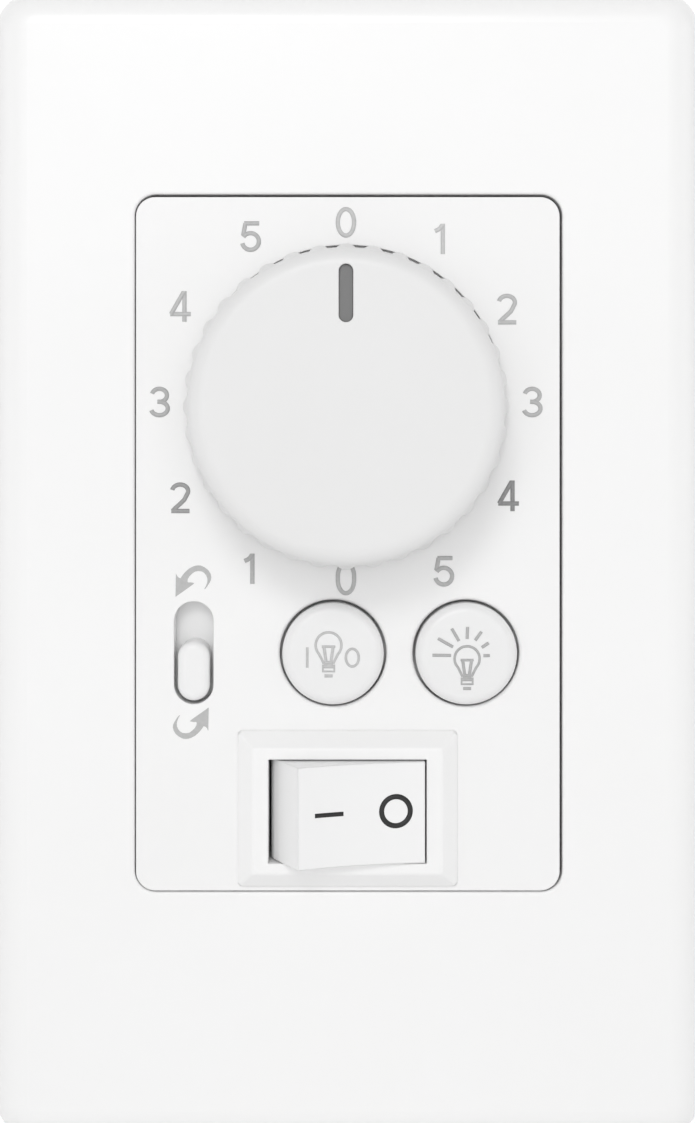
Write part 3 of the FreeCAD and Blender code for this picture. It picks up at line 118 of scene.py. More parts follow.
def sweep(name, floor_level, front, back, half_width, bend, height):
    """A floor that bends up into a backdrop."""
    bend_steps = 12
    profile = [(front, floor_level)]
    for step in range(bend_steps + 1):
        turn = math.radians(90 * step / bend_steps)
        profile.append((back - bend + bend * math.sin(turn),
                        floor_level + bend - bend * math.cos(turn)))
    profile.append((back, floor_level + height))
    mesh = bpy.data.meshes.new(name)
    corners = [(x, y, z) for y, z in profile for x in (-half_width, half_width)]
    faces = [(2 * n, 2 * n + 1, 2 * n + 3, 2 * n + 2) for n in range(len(profile) - 1)]
    mesh.from_pydata(corners, [], faces)
    mesh.shade_smooth()
    paper = bpy.data.objects.new(name, mesh)
    bpy.context.scene.collection.objects.link(paper)
    return paper


paper = sweep("paper_sweep", floor_level=cad_low.z - 0.1 * MM, front=-1.6, back=0.45,
              half_width=1.6, bend=0.25, height=1.6)

# Surround plate
# The clip-on frame round the controls: one glossy white moulding with rolled front edges,
# held by four snap clips under its rim.


class Wire:
    """A value in a finish's nodes. Sums on it add the nodes that work them out."""

    def __init__(self, finish, socket):
        self.finish = finish
        self.socket = socket

    def combine(self, operation, first, second):
        return self.finish.add("ShaderNodeMath", {"operation": operation}, {0: first, 1: second})

    def __add__(self, other):
        return self.combine("ADD", self, other)

    def __sub__(self, other):
        return self.combine("SUBTRACT", self, other)

    def __rsub__(self, other):
        return self.combine("SUBTRACT", other, self)

    def __mul__(self, other):
        return self.combine("MULTIPLY", self, other)

    def __gt__(self, other):
        return self.combine("GREATER_THAN", self, other)

    __radd__ = __add__
    __rmul__ = __mul__


class Finish:
    """A material: its shader, and the nodes that vary it over the surface."""

    def __init__(self, name, **fixed):
        self.material = bpy.data.materials.new(name)
        self.material.use_nodes = True
        self.tree = self.material.node_tree
        self.shader = self.tree.nodes["Principled BSDF"]
        self.place = self.add("ShaderNodeTexCoord", {}, {}, "Object")
        self.feed(**fixed)

    def add(self, kind, settings, sockets, output=0):
        """Add a node: its settings, then its sockets' values or wires, and return one output."""
        node = self.tree.nodes.new(kind)
        for name, setting in settings.items():
            setattr(node, name, setting)
        for name, value in sockets.items():
            self.join(node.inputs[name], value)
        return Wire(self, node.outputs[output])

    def join(self, socket, value):
        if isinstance(value, Wire):
            self.tree.links.new(value.socket, socket)
        else:
            socket.default_value = value

    def feed(self, **values):
        """Set the shader's sockets; an underscore stands for a space."""
        for name, value in values.items():
            self.join(self.shader.inputs[name.replace("_", " ")], value)

    def noise(self, patch, detail=2.0, place=None):
        """Cloudy noise with patches of a size in millimetres."""
        return self.add("ShaderNodeTexNoise", {}, {"Vector": place or self.place,
                                                   "Scale": 1 / (patch * MM), "Detail": detail})

    def blend(self, amount, first, second):
        """One colour over to another by an amount. Sockets 6 and 7 are its two colours."""
        return self.add("ShaderNodeMix", {"data_type": "RGBA"}, {0: amount, 6: first, 7: second}, 2)

    def relief(self, height, depth, below=None):
        """A normal from a height pattern whose full depth is in millimetres."""
        sockets = {"Height": height, "Distance": depth * MM, "Strength": 1.0}
        if below:
            sockets["Normal"] = below
        return self.add("ShaderNodeBump", {}, sockets)


def shade(level, warmth=0.0):
    """A grey of a linear level, a little warmer or cooler."""
    return (level * (1 + warmth), level, level * (1 - warmth), 1)


def moulded_plastic(name, pale, dark, roughness, grain, grain_depth, edge=0.15):
    """Moulded plastic: faint clouding, a varied gloss, mould grain and softened edges in mm."""
    plastic = Finish(name, IOR=1.49)
    clouding = plastic.noise(patch=14, detail=3)
    handling = plastic.noise(patch=5, detail=4)
    gloss_spread = 0.06
    soft_edges = plastic.add("ShaderNodeBevel", {"samples": 4}, {"Radius": edge * MM})
    plastic.feed(
        Base_Color=plastic.blend(clouding, dark, pale),
        Roughness=roughness - gloss_spread / 2 + gloss_spread * handling,
        Normal=plastic.relief(plastic.noise(grain, detail=3), grain_depth, below=soft_edges))
    return plastic.material


def dress(material, *nodes):
    """Give CAD nodes a finish."""
    for node in nodes:
        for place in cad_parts[node].material_slots:
            place.material = material


white_gloss = moulded_plastic("white_gloss", shade(0.92), shade(0.91, 0.003), 0.30,
                              grain=0.9, grain_depth=0.0003)
dress(white_gloss, "surround_plate")

# Control panel
# The moulding in the surround's opening: satin white, with the knob's recess, the button
# holes, the slot and the rocker's cut-out. It is screwed to the wall box.

white_satin = moulded_plastic("white_satin", shade(0.91), shade(0.89, 0.003), 0.42,
                              grain=0.25, grain_depth=0.004)
dress(white_satin, "control_panel")

# Dial numerals
# The speeds, 0 to 5 twice round, pad printed in pale silver-grey ink on the panel. The ink
# stands 0.02 mm proud, and covers unevenly.

ink_sunk = 0.01 * MM
ink_proud = 0.02 * MM
ink_thickness = ink_sunk + ink_proud
ink_layer = 0.0015 * MM
facing_front = Matrix.Rotation(math.pi / 2, 4, "X")
panel_front = 9.1 * MM


def arc(middle_x, middle_z, across, upright, start, end):
    """Points along an oval from one angle to another, in degrees."""
    widest_step = 9
    steps = max(2, math.ceil(abs(end - start) / widest_step))
    turns = [math.radians(start + (end - start) * n / steps) for n in range(steps + 1)]
    return [(middle_x + across * math.cos(turn), middle_z + upright * math.sin(turn))
            for turn in turns]


class NodeGroup:
    """Geometry nodes that make a repeated or swept shape, with inputs named in plain words."""

    def __init__(self, name, **inputs):
        self.tree = bpy.data.node_groups.new(name, "GeometryNodeTree")
        doors = self.tree.interface
        doors.new_socket("Geometry", in_out="INPUT", socket_type="NodeSocketGeometry")
        for label, kind in inputs.items():
            doors.new_socket(label, in_out="INPUT", socket_type="NodeSocket" + kind)
        doors.new_socket("Geometry", in_out="OUTPUT", socket_type="NodeSocketGeometry")
        self.start = self.tree.nodes.new("NodeGroupInput")

    def given(self, label):
        """What comes in under a name."""
        return self.start.outputs[label]

    def add(self, kind, output, **sockets):
        """Add a node, set or join its sockets (an underscore stands for a space), and return
        an output."""
        node = self.tree.nodes.new("GeometryNode" + kind)
        for name, value in sockets.items():
            socket = node.inputs[name.replace("_", " ")]
            if isinstance(value, bpy.types.NodeSocket):
                self.tree.links.new(value, socket)
            else:
                socket.default_value = value
        return node.outputs[output]

    def close(self, shape):
        """Make every instance real, give the shape its material and end the group."""
        whole = self.add("RealizeInstances", "Geometry", Geometry=shape)
        dressed = self.add("SetMaterial", "Geometry", Geometry=whole,
                           Material=self.given("material"))
        self.tree.links.new(dressed, self.tree.nodes.new("NodeGroupOutput").inputs["Geometry"])

    def grow(self, carrier, **values):
        """The mesh that the group makes on a mesh or a curve."""
        holder = bpy.data.objects.new(carrier.name, carrier)
        bpy.context.scene.collection.objects.link(holder)
        modifier = holder.modifiers.new(self.tree.name, "NODES")
        modifier.node_group = self.tree
        for item in self.tree.interface.items_tree:
            if item.in_out == "INPUT" and item.name in values:
                modifier[item.identifier] = values[item.name]
        grown = bpy.data.meshes.new_from_object(
            holder.evaluated_get(bpy.context.evaluated_depsgraph_get()))
        bpy.data.objects.remove(holder)
        return grown


printed_line = NodeGroup("printed_line", line_width="Float", ink_thickness="Float",
                         material="Material")
line_section = printed_line.add("CurvePrimitiveQuadrilateral", "Curve",
                                Width=printed_line.given("line_width"),
                                Height=printed_line.given("ink_thickness"))
printed_line.close(printed_line.add("CurveToMesh", "Mesh", Curve=printed_line.given("Geometry"),
                                    Profile_Curve=line_section, Fill_Caps=True))


def lay_ink(lines, width, material):
    """A mesh of printed lines, lists of points in mm. One that ends where it began closes.

    Each line lies a hair over the one before, so no two faces share a plane where they cross.
    """
    drawing = bpy.data.curves.new("drawing", "CURVE")
    drawing.dimensions = "3D"
    for layer, points in enumerate(lines):
        closed = math.dist(points[0], points[-1]) < 0.001
        points = points[:-1] if closed else points
        line = drawing.splines.new("POLY")
        line.points.add(len(points) - 1)
        line.use_cyclic_u = closed
        for point, (x, z) in zip(line.points, points):
            point.co = (x * MM, z * MM, layer * ink_layer, 1)
    return printed_line.grow(drawing, line_width=width * MM, ink_thickness=ink_thickness,
                             material=material)


def on_face(x, z, height):
    """Where a drawing lies on a face that looks forward: x and z in mm, the height in metres."""
    middle = height + (ink_proud - ink_sunk) / 2
    return Matrix.Translation((x * MM, -middle, z * MM)) @ facing_front


def gather(name, body, meshes):
    """Join meshes that are in place into one piece on a body."""
    joined = bmesh.new()
    for mesh in meshes:
        joined.from_mesh(mesh)
    whole = bpy.data.meshes.new(name)
    joined.to_mesh(whole)
    whole.materials.append(meshes[0].materials[0])
    piece = bpy.data.objects.new(name, whole)
    bpy.context.scene.collection.objects.link(piece)
    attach(piece, body)
    return piece


def printing_ink(name, dark, pale, gloss):
    """Printing ink: uneven cover from the pad, darker where an attribute named tone is low."""
    ink = Finish(name, IOR=1.45)
    tone = ink.add("ShaderNodeAttribute", {"attribute_name": "tone"}, {}, "Fac")
    cover = ink.noise(patch=0.35, detail=4)
    patchiness = 0.3
    ink.feed(
        Base_Color=ink.blend(tone * 0.85 + patchiness * (cover - 0.5), dark, pale),
        Roughness=gloss + 0.15 * cover,
        Normal=ink.relief(ink.noise(patch=0.12, detail=2), depth=0.002))
    return ink.material


def tint(mesh, tone):
    """Say how pale a printed mesh is, from 0 to 1."""
    values = mesh.attributes.new("tone", "FLOAT", "POINT").data
    values.foreach_set("value", [tone] * len(mesh.vertices))
    return mesh


numeral_line = 0.43
numeral_half_width = 0.80
numeral_half_height = 1.30
upper_bowl = 0.66

# The lines of each numeral from 0 to 5, in mm from its middle
NUMERALS = [
    [arc(0, 0, numeral_half_width, numeral_half_height, 0, 360)],
    [[(0.26, 1.49), (0.26, -1.49)],
     [(0.20, 1.36), (0.02, 1.08), (-0.20, 0.90), (-0.52, 0.76)]],
    [arc(0, upper_bowl, 0.78, 0.64, 170, -25)
     + [(0.40, -0.20), (-0.10, -0.68), (-0.50, -1.04), (-0.74, -1.30)],
     [(-0.88, -1.30), (0.92, -1.30)]],
    [arc(-0.02, upper_bowl, 0.74, 0.64, 165, -90), [(-0.22, 0.03), (0.05, 0.03)],
     arc(-0.02, -0.63, 0.82, 0.66, 90, -165)],
    [[(0.42, 1.50), (0.42, -1.52)], [(-0.98, -0.76), (1.05, -0.76)],
     [(0.34, 1.40), (-0.90, -0.76)]],
    [[(-0.62, 1.31), (0.86, 1.31)], [(-0.50, 1.32), (-0.72, 0.10)],
     arc(0, -0.47, 0.82, 0.82, 148, -168)],
]

# The zero below the knob is a little taller than the others
zero_stretch = 0.35
low_zero_step = 6
low_zero = [arc(0, zero_stretch, numeral_half_width, numeral_half_height, 0, 180)
            + arc(0, 0, numeral_half_width, numeral_half_height, 180, 360)
            + [(numeral_half_width, zero_stretch)]]

# Clockwise from the top: each numeral, its distance from the ring's middle and its paleness
ring_middle = (-0.15, 16.2)
numeral_order = [0, 1, 2, 3, 4, 5] * 2
numeral_reach = [17.65, 18.5, 18.25, 18.3, 18.4, 19.2, 17.47, 18.9, 18.8, 18.3, 18.8, 18.75]
numeral_tone = [0.94, 1.0, 0.84, 0.73, 0.19, 0.72, 0.79, 0.67, 0.36, 0.64, 0.85, 0.76]

silver_ink = printing_ink("silver_ink", shade(0.20), shade(0.66), 0.35)
printed = []
for step, (numeral, distance, tone) in enumerate(zip(numeral_order, numeral_reach, numeral_tone)):
    turn = math.radians(step * 360 / len(numeral_order))
    lines = low_zero if step == low_zero_step else NUMERALS[numeral]
    mesh = tint(lay_ink(lines, numeral_line, silver_ink), tone)
    mesh.transform(on_face(ring_middle[0] + distance * math.sin(turn),
                           ring_middle[1] + distance * math.cos(turn), panel_front))
    printed.append(mesh)
gather("dial_numerals", "mounted_parts", printed)

# Slide arrows
# Two bent arrows above and below the slot, for the two ways that the fan turns, in the same
# ink. The tail of each thins to a point.

arrow_middle = (-15.26, -8.36)
arrow_tone = 0.73

# The upper arrow's outline in mm from the middle of the slot: the barb, the outside of the bow
# to its tail, the inside of the bow, the other barb and the tip
BENT_ARROW = [
    (-1.59, 7.73), (-1.47, 7.49), (-1.34, 7.33), (-1.12, 7.26), (-1.02, 7.44), (-0.88, 7.63),
    (-0.71, 7.83), (-0.50, 8.04), (-0.27, 8.22), (0.12, 8.42), (0.35, 8.49), (0.59, 8.52),
    (0.80, 8.51), (0.98, 8.46), (1.30, 8.28), (1.61, 8.03), (1.81, 7.71), (1.89, 7.36),
    (1.85, 7.09), (1.69, 6.77), (1.49, 6.46), (1.30, 6.22), (1.18, 6.18), (1.34, 6.46),
    (1.45, 6.73), (1.51, 7.01), (1.49, 7.28), (1.37, 7.56), (1.18, 7.79), (0.94, 7.93),
    (0.59, 7.97), (0.27, 7.91), (0.00, 7.71), (-0.27, 7.44), (-0.43, 7.16), (-0.45, 6.93),
    (-0.41, 6.85), (-0.12, 6.85), (0.22, 6.79), (0.04, 6.61), (-1.63, 5.43)]


def between(name, low, high):
    """A closed mesh between two outlines that have the same number of corners."""
    shape = bmesh.new()
    low = [shape.verts.new(corner) for corner in low]
    high = [shape.verts.new(corner) for corner in high]
    shape.faces.new(low)
    shape.faces.new(high)
    for n in range(len(low)):
        after = (n + 1) % len(low)
        shape.faces.new((low[n], low[after], high[after], high[n]))
    bmesh.ops.recalc_face_normals(shape, faces=shape.faces)
    mesh = bpy.data.meshes.new(name)
    shape.to_mesh(mesh)
    return mesh


printed = []
for flip in (1, -1):
    low, high = [[(flip * x * MM, flip * z * MM, side * ink_thickness / 2) for x, z in BENT_ARROW]
                 for side in (-1, 1)]
    mesh = tint(between("arrow", low, high), arrow_tone)
    mesh.materials.append(silver_ink)
    mesh.transform(on_face(*arrow_middle, panel_front))
    printed.append(mesh)
gather("slide_arrows", "mounted_parts", printed)

# Speed knob
# A round cap with 36 grip lobes round its foot, moulded in satin white. It pushes onto the
# D-shaped end of the switch shaft.

white_knob = moulded_plastic("white_knob", shade(0.80), shade(0.78, 0.003), 0.40,
                             grain=0.18, grain_depth=0.003)
dress(white_knob, "knob")

# Pointer inlay
# A grey plastic strip, pressed into the groove of the knob's face. It turns with the knob
# and points at the speed.

pointer_grey = moulded_plastic("pointer_grey", shade(0.20), shade(0.165), 0.45,
                               grain=0.2, grain_depth=0.004)
dress(pointer_grey, "knob_pointer")

# Push buttons
# Two round caps in glossy white: the left one switches the light, the right one dims it.
# Each carries a lamp symbol in thin grey lines.

white_button = moulded_plastic("white_button", shade(0.845), shade(0.835), 0.30,
                               grain=0.5, grain_depth=0.001)
dress(white_button, "light_button", "dimmer_button")
icon_ink = printing_ink("icon_ink", shade(0.10), shade(0.68), 0.4)
thin_line = 0.25
thick_line = 0.30
button_front = 10.3 * MM
light_button = (-1.42, -8.45)
dimmer_button = (11.64, -8.45)


def lamp_symbol(x, z, size):
    """A bulb about the middle of its glass: its thin lines and its thick ones, in mm."""
    glass = arc(0, 0, 1.26, 1.26, -42, 222)
    thin = [
        [(0.46, -1.80), (0.62, -1.45)] + glass + [(-0.62, -1.45), (-0.46, -1.80)],
        [(-0.66, -0.13), (0.66, -0.13)],
        [(-0.555, -1.98), (0.555, -1.98), (0.555, -2.55), (-0.555, -2.55), (-0.555, -1.98)],
    ]
    thick = [
        [(-0.45, -0.13), (-0.21, -1.80)],
        [(0.45, -0.13), (0.21, -1.80)],
        [(-0.36, -1.68), (0.36, -1.68)],
        [(-0.45, -1.90), (0.45, -1.90)],
        [(-0.50, -2.10), (0.50, -2.10)],
        [(-0.40, -2.99), (0.40, -2.99)],
    ]
    return [[[(x + size * u, z + size * v) for u, v in line] for line in lines]
            for lines in (thin, thick)]


def print_symbol(name, body, place, thin, thick, tone):
    """Lay a symbol on a cap in thin and thick lines."""
    meshes = [tint(lay_ink(thin, thin_line, icon_ink), tone),
              tint(lay_ink(thick, thick_line, icon_ink), tone)]
    meshes[1].transform(Matrix.Translation((0, 0, len(thin) * ink_layer)))
    for mesh in meshes:
        mesh.transform(on_face(*place, button_front))
    gather(name, body, meshes)


# A stroke and a ring stand beside the bulb, for on and off
thin, thick = lamp_symbol(-0.43, 0.92, size=1.0)
thin += [[(-2.51, 0.72), (-2.51, -1.28)], arc(1.89, -0.29, 0.63, 0.86, 0, 360)]
print_symbol("light_symbol", "light_key", light_button, thin, thick, tone=0.92)

# The rays of the dimmer's symbol, outer and inner ends in mm from the middle of its glass
DIMMER_RAYS = [
    [(-3.39, 0.35), (-1.56, 0.33)], [(-2.84, 1.98), (-1.37, 1.15)], [(-1.50, 2.95), (-0.79, 1.73)],
    [(0.04, 3.11), (0.00, 1.93)], [(1.40, 2.65), (0.79, 1.79)], [(2.11, 1.55), (1.43, 1.10)],
    [(2.22, 0.32), (1.59, 0.30)]]

glass_middle = (0.03, -0.40)
thin, thick = lamp_symbol(*glass_middle, size=0.97)
thick += [[(glass_middle[0] + x, glass_middle[1] + z) for x, z in ray] for ray in DIMMER_RAYS]
print_symbol("dimmer_symbol", "dimmer_key", dimmer_button, thin, thick, tone=0.72)

# Reverse slide
# The finger pill and the white shutter behind the slot are one moulding; its fork drives the
# lever of a slide switch on the board.

white_slide = moulded_plastic("white_slide", shade(0.87), shade(0.86), 0.34,
                              grain=0.4, grain_depth=0.001)
dress(white_slide, "reverse_slider")

# Rocker switch
# The rocker swings on two moulded pins in a bevelled bezel. Its two faces meet in a shallow
# valley and carry a dash and a ring in black ink.

white_bezel = moulded_plastic("white_bezel", shade(0.92), shade(0.90, 0.003), 0.38,
                              grain=0.25, grain_depth=0.003, edge=0.2)
dress(white_bezel, "rocker_housing")
white_rocker = moulded_plastic("white_rocker", shade(0.90), shade(0.89), 0.34,
                               grain=0.4, grain_depth=0.001, edge=0.25)
dress(white_rocker, "rocker")
mark_ink = printing_ink("mark_ink", shade(0.012), shade(0.03), 0.35)
mark_tone = 0.2
mark_height = 0.2
dash_out, dash_half_length, dash_line = 3.21, 1.45, 0.42
ring_out, ring_radius, ring_line = 3.54, 1.41, 0.50

rocker_x, rocker_z = 0.0, -23.6
rocker_pivot = 7.85
rocker_lean = math.radians(15)
rocker_dish = math.radians(8)
rocker_end_rise = 5.41
rocker_half_length = 6.34
valley_rise = rocker_end_rise - rocker_half_length * math.tan(rocker_dish)
valley_radius = 36.0
valley_reach = valley_radius * math.tan(rocker_dish)


def print_on_rocker(mesh, side, out, along):
    """Lay a drawing on one face of the leaning rocker, out from its middle, and bend it with
    the valley."""
    mesh.transform(on_face(side * out, along, 0))
    for vertex in mesh.vertices:
        inward = max(0.0, valley_reach - abs(vertex.co.x) / MM)
        vertex.co.y -= (valley_radius - math.sqrt(valley_radius ** 2 - inward ** 2)) * MM
    drop = Matrix.Rotation(-side * rocker_dish, 4, "Z")
    lean = Matrix.Rotation(rocker_lean, 4, "Z")
    rise = Matrix.Translation((0, -valley_rise * MM, 0))
    pivot = Matrix.Translation((rocker_x * MM, -rocker_pivot * MM, rocker_z * MM))
    mesh.transform(pivot @ lean @ rise @ drop)
    return tint(mesh, mark_tone)


# The dash has many points, so that it can bend
dash_points = [(dash_half_length * step / 8, 0) for step in range(-8, 9)]
dash = lay_ink([dash_points], dash_line, mark_ink)
ring = lay_ink([arc(0, 0, ring_radius, ring_radius, 0, 360)], ring_line, mark_ink)
gather("rocker_marks", "isolator_rocker",
       [print_on_rocker(dash, -1, dash_out, mark_height),
        print_on_rocker(ring, 1, ring_out, mark_height)])

# Rocker spring
# A coil of zinc-plated wire in the rocker's tube. It presses the plunger onto the seesaw
# contact, which makes the rocker snap over.


def metal(name, colour, roughness, brushing):
    """Bare or plated metal with drawing marks from front to back and a patchy polish."""
    plate = Finish(name, Metallic=1.0)
    drawn = plate.add("ShaderNodeMapping", {}, {"Vector": plate.place, "Scale": (1.0, 0.06, 1.0)})
    marks = plate.noise(patch=0.12, detail=3, place=drawn)
    dulled = 0.8
    darker = tuple(dulled * part for part in colour[:3]) + (1,)
    plate.feed(
        Base_Color=plate.blend(plate.noise(patch=2, detail=3), darker, colour),
        Roughness=roughness + brushing * (marks - 0.5),
        Normal=plate.relief(marks, 0.004 * brushing))
    return plate.material


zinc = metal("zinc", (0.52, 0.54, 0.56, 1), 0.36, brushing=0.3)

coil = NodeGroup("coil", turns="Float", radius="Float", rise="Float", wire="Float", sides="Int",
                 material="Material")
coil_path = coil.add("CurveSpiral", "Curve", Resolution=28, Rotations=coil.given("turns"),
                     Start_Radius=coil.given("radius"), End_Radius=coil.given("radius"),
                     Height=coil.given("rise"))
coil_section = coil.add("CurvePrimitiveCircle", "Curve", Resolution=coil.given("sides"),
                        Radius=coil.given("wire"))
coil.close(coil.add("CurveToMesh", "Mesh", Curve=coil_path, Profile_Curve=coil_section,
                    Fill_Caps=True))

spring_turns = 3.5
spring_radius = 0.9 * MM
spring_wire = 0.2 * MM
spring_low = 0.4 * MM
spring_length = 2.0 * MM
spring = coil.grow(bpy.data.meshes.new("coil"), turns=spring_turns, radius=spring_radius,
                   rise=spring_length - 2 * spring_wire, wire=spring_wire, sides=12,
                   material=zinc)
spring.transform(Matrix.Translation((rocker_x * MM, -rocker_pivot * MM, rocker_z * MM))
                 @ Matrix.Rotation(rocker_lean, 4, "Z") @ facing_front
                 @ Matrix.Translation((0, 0, spring_low + spring_wire)))
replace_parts(gather("rocker_spring_coil", "isolator_rocker", [spring]),
            "rocker_spring")

# Rear housing
# The tub behind the panel, moulded in plain white with a coarser grain, since the wall hides
# it. It is held by four screws.

housing_white = moulded_plastic("housing_white", shade(0.80, 0.01), shade(0.76, 0.015), 0.50,
                                grain=0.6, grain_depth=0.012)
dress(housing_white, "rear_housing")

# Housing screws
# Four self-tapping screws of zinc-plated steel with pan heads and cross recesses. They hold the
# rear housing to the panel from behind.


def solids_of(node):
    """The low and high corners of each separate solid of a CAD node, from left to right."""
    weld = 0.001 * MM
    shape = bmesh.new()
    shape.from_mesh(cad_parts[node].data)
    bmesh.ops.transform(shape, matrix=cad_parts[node].matrix_world, verts=shape.verts)
    bmesh.ops.remove_doubles(shape, verts=shape.verts, dist=weld)
    left = set(shape.verts)
    boxes = []
    while left:
        found = [left.pop()]
        for vertex in found:
            near = {edge.other_vert(vertex) for edge in vertex.link_edges} & left
            left -= near
            found.extend(near)
        boxes.append([Vector([pick(vertex.co[axis] for vertex in found) for axis in range(3)])
                      for pick in (min, max)])
    boxes.sort(key=lambda box: [round(value / MM, 2) for value in box[0]])
    return boxes


def turned(name, profile, sides):
    """A closed mesh turned about its upright axis from (radius, height) pairs in metres."""
    shape = bmesh.new()
    rings = []
    for radius, height in profile:
        count = sides if radius > 0 else 1
        rings.append([shape.verts.new((radius * math.cos(2 * math.pi * n / sides),
                                       radius * math.sin(2 * math.pi * n / sides), height))
                      for n in range(count)])
    for low, high in zip(rings, rings[1:]):
        for n in range(sides):
            corners = [low[n % len(low)], low[(n + 1) % len(low)],
                       high[(n + 1) % len(high)], high[n % len(high)]]
            shape.faces.new(list(dict.fromkeys(corners)))
    bmesh.ops.recalc_face_normals(shape, faces=shape.faces)
    mesh = bpy.data.meshes.new(name)
    shape.to_mesh(mesh)
    return mesh


def cross_recess(head, rise):
    """The shape of a cross-tip driver over a screw head."""
    arm, blade, depth = 0.55 * head, 0.13 * head, 0.62 * rise
    tip_scale, mouth_scale = 0.5, 1.15
    corner = [(arm, -blade), (arm, blade), (blade, blade)]
    outline = [(x * math.cos(turn) - y * math.sin(turn), x * math.sin(turn) + y * math.cos(turn))
               for turn in (0, math.pi / 2, math.pi, 1.5 * math.pi) for x, y in corner]
    low = [(tip_scale * x, tip_scale * y, rise - depth) for x, y in outline]
    high = [(mouth_scale * x, mouth_scale * y, rise + 0.2 * depth) for x, y in outline]
    return between("cross_recess", low, high)


def carve(whole, tool):
    """Take one closed mesh out of another."""
    pair = [bpy.data.objects.new(mesh.name, mesh) for mesh in (whole, tool)]
    for item in pair:
        bpy.context.scene.collection.objects.link(item)
    difference = pair[0].modifiers.new("carve", "BOOLEAN")
    difference.operation = "DIFFERENCE"
    difference.solver = "EXACT"
    difference.object = pair[1]
    carved = bpy.data.meshes.new_from_object(
        pair[0].evaluated_get(bpy.context.evaluated_depsgraph_get()))
    for item in pair:
        bpy.data.objects.remove(item)
    return carved


def tapping_screw(shank, head, rise, length, pitch, metal_finish):
    """A pan-head screw with its seat at zero, its head above and its thread below."""
    ridge = 0.13 * shank
    core = shank - 1.2 * ridge
    rim = 0.35
    dome = [(head * math.cos(turn) ** 0.6, rise * (rim + 0.65 * math.sin(turn)))
            for turn in [math.radians(15 * n) for n in range(6)]]
    point = [(0, -length), (0.45 * core, -length), (core, 1.1 * core - length)]
    body = turned("screw", point + [(core, 0), (head, 0)] + dome + [(0, rise)], sides=40)
    body = carve(body, cross_recess(head, rise))
    turns = (length - 1.2 * core) / pitch
    thread = coil.grow(bpy.data.meshes.new("thread"), turns=turns, radius=shank - ridge,
                       rise=turns * pitch, wire=ridge, sides=4, material=metal_finish)
    thread.transform(Matrix.Translation((0, 0, -turns * pitch - ridge)))
    screw = bmesh.new()
    screw.from_mesh(body)
    screw.from_mesh(thread)
    mesh = bpy.data.meshes.new("screw")
    screw.to_mesh(mesh)
    mesh.materials.append(metal_finish)
    return mesh


def set_screws(name, node, shank, head, pitch):
    """Screws in place of the plain ones of a CAD node, pointing forward, each turned at random."""
    head_rise = 1.3 * MM
    chance = random.Random(7)
    screws = []
    for low, high in solids_of(node):
        mesh = tapping_screw(shank * MM, head * MM, head_rise, high.y - low.y - head_rise,
                             pitch * MM, zinc)
        seat = Vector(((low.x + high.x) / 2, high.y - head_rise, (low.z + high.z) / 2))
        mesh.transform(Matrix.Translation(seat) @ Matrix.Rotation(-math.pi / 2, 4, "X")
                       @ Matrix.Rotation(chance.uniform(0, math.pi), 4, "Z"))
        screws.append(mesh)
    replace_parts(gather(name, "mounted_parts", screws), node)


set_screws("housing_tapping_screws", "housing_screws", shank=1.15, head=2.1, pitch=0.9)

# Circuit board
# Glass-fibre board under green solder mask, with the copper of its tracks showing through. It
# lies on the panel's posts, behind the controls.

board_green = Finish("board_green", IOR=1.5, Coat_Roughness=0.12)
track_cells = board_green.add(
    "ShaderNodeTexVoronoi", {"feature": "DISTANCE_TO_EDGE"},
    {"Vector": board_green.place, "Scale": 1 / (4.5 * MM), "Randomness": 0.35})
track_edge = 0.12
tracks = track_cells > track_edge
board_green.feed(
    Base_Color=board_green.blend(tracks, (0.02, 0.16, 0.06, 1), (0.006, 0.075, 0.025, 1)),
    Roughness=0.3 + 0.15 * board_green.noise(patch=1.5),
    Coat_Weight=0.6,
    Normal=board_green.relief(tracks, depth=0.02))
dress(board_green.material, "circuit_board")

# Board screws
# Three shorter self-tapping screws of zinc-plated steel, of the same kind as those of the
# housing. They hold the board to the panel's posts.

set_screws("board_tapping_screws", "board_screws", shank=0.9, head=1.9, pitch=0.7)

# Solder joints
# Bright cones of solder round the switch pins, on the back of the board, where they were
# dipped in the bath.

solder = metal("solder", (0.75, 0.75, 0.74, 1), 0.22, brushing=0.1)
solder_joints = NodeGroup("solder_joints", foot="Float", tip="Float", rise="Float", seed="Int",
                          material="Material")
cone = solder_joints.add("MeshCone", "Mesh", Vertices=20, Radius_Top=solder_joints.given("tip"),
                         Radius_Bottom=solder_joints.given("foot"),
                         Depth=solder_joints.given("rise"))

# Inputs 2 and 3 are the least and the greatest number, and output 1 is the number
uneven = solder_joints.tree.nodes.new("FunctionNodeRandomValue")
uneven.data_type = "FLOAT"
uneven.inputs[2].default_value = 0.85
uneven.inputs[3].default_value = 1.05
solder_joints.tree.links.new(solder_joints.given("seed"), uneven.inputs["Seed"])
solder_joints.close(solder_joints.add("InstanceOnPoints", "Instances",
                                      Points=solder_joints.given("Geometry"),
                                      Instance=cone, Scale=uneven.outputs[1]))

board_back = 2.6 * MM
joint_sunk = 0.01 * MM
joint_spots = [((low.x + high.x) / 2, -(low.z + high.z) / 2, 0)
               for node in ("rotary_pins", "tact_switch_legs", "slide_switch_legs")
               for low, high in solids_of(node)]
places = bpy.data.meshes.new("joint_places")
places.from_pydata(joint_spots, [], [])
joints = solder_joints.grow(places, foot=0.92 * MM, tip=0.46 * MM, rise=0.42 * MM, seed=3,
                            material=solder)
joints.transform(Matrix.Translation((0, board_back - joint_sunk, 0))
                 @ Matrix.Rotation(-math.pi / 2, 4, "X"))
gather("solder_joints", "mounted_parts", [joints])

# Metals and coloured plastics
# What is left of the switches and of the board's parts: plated and bare metals, dyed
# mouldings and the capacitor's drawn can.

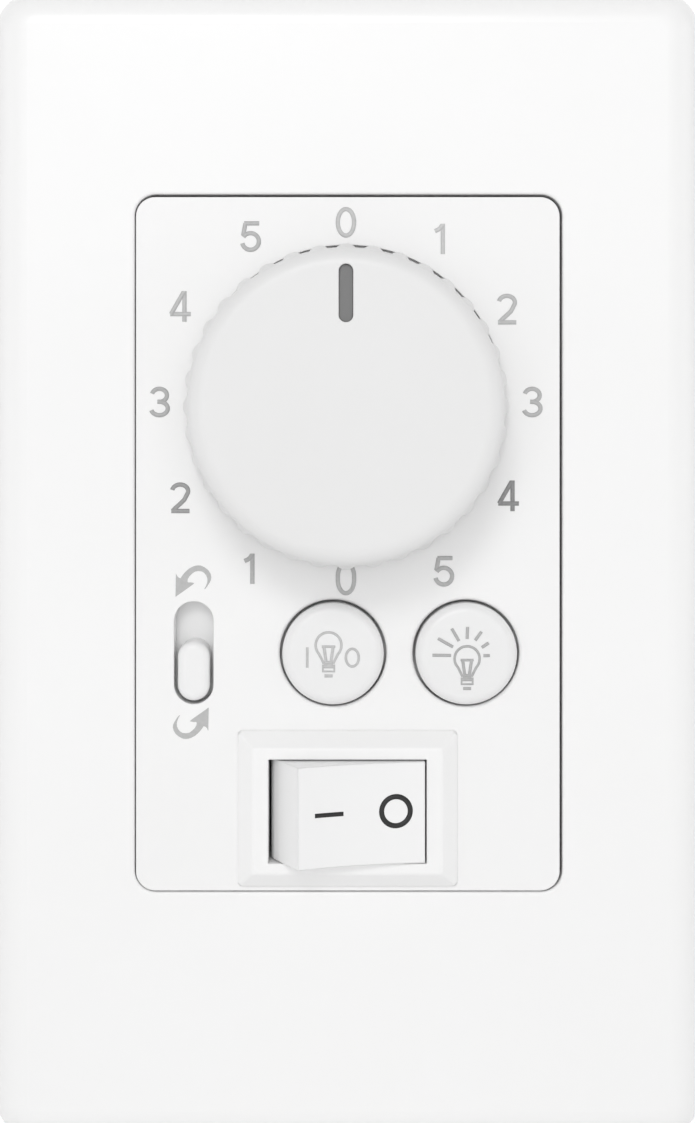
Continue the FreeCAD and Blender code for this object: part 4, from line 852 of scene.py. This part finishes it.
nickel = metal("nickel", (0.66, 0.63, 0.58, 1), 0.28, brushing=0.3)
brass = metal("brass", (0.80, 0.60, 0.28, 1), 0.30, brushing=0.3)
aluminium = metal("aluminium_can", (0.83, 0.84, 0.85, 1), 0.35, brushing=0.2)
black = moulded_plastic("black_plastic", shade(0.03), shade(0.022), 0.45,
                        grain=0.2, grain_depth=0.006)
blue = moulded_plastic("blue_plastic", (0.03, 0.14, 0.42, 1), (0.025, 0.11, 0.36, 1), 0.38,
                       grain=0.4, grain_depth=0.004)
yellow = moulded_plastic("yellow_plastic", (0.72, 0.50, 0.05, 1), (0.66, 0.44, 0.04, 1), 0.35,
                         grain=0.5, grain_depth=0.003)
green = moulded_plastic("terminal_green", (0.03, 0.30, 0.08, 1), (0.025, 0.25, 0.065, 1), 0.42,
                        grain=0.3, grain_depth=0.006)

dress(brass, "rocker_contact", "rocker_terminals", "shaft_bushing")
dress(nickel, "bushing_nut", "bushing_washer", "rotary_pins", "tact_switch_legs",
      "slide_switch_legs", "component_pins", "chip_legs")
dress(zinc, "rocker_spring", "terminal_screws", "board_screws", "housing_screws", "slide_switch")
dress(aluminium, "smoothing_capacitor")
dress(black, "rotary_cover", "rotary_base", "light_tact_switch", "dimmer_tact_switch",
      "light_tact_plunger", "dimmer_tact_plunger", "slide_switch_lever", "rocker_plunger",
      "controller_chip", "fuse", "switch_shaft")
dress(blue, "relay")
dress(yellow, "supply_capacitor")
dress(green, "terminal_block")

# Studio paper
# Matt white card for the sweep. The camera and mirrored surfaces see it brighter than it
# lights the control, so it looks white without more light on the plate.

paper_glow = 0.42
pale_paper = Finish("pale_paper", IOR=1.3)
seen_directly = pale_paper.add("ShaderNodeLightPath", {}, {}, "Is Camera Ray")
seen_mirrored = pale_paper.add("ShaderNodeLightPath", {}, {}, "Is Glossy Ray")
pale_paper.feed(
    Base_Color=pale_paper.blend(pale_paper.noise(patch=300), shade(0.90), shade(0.93)),
    Roughness=0.85 + 0.05 * pale_paper.noise(patch=20),
    Emission_Color=pale_paper.blend(seen_directly + seen_mirrored, shade(0), shade(1)),
    Emission_Strength=paper_glow)
paper.data.materials.append(pale_paper.material)
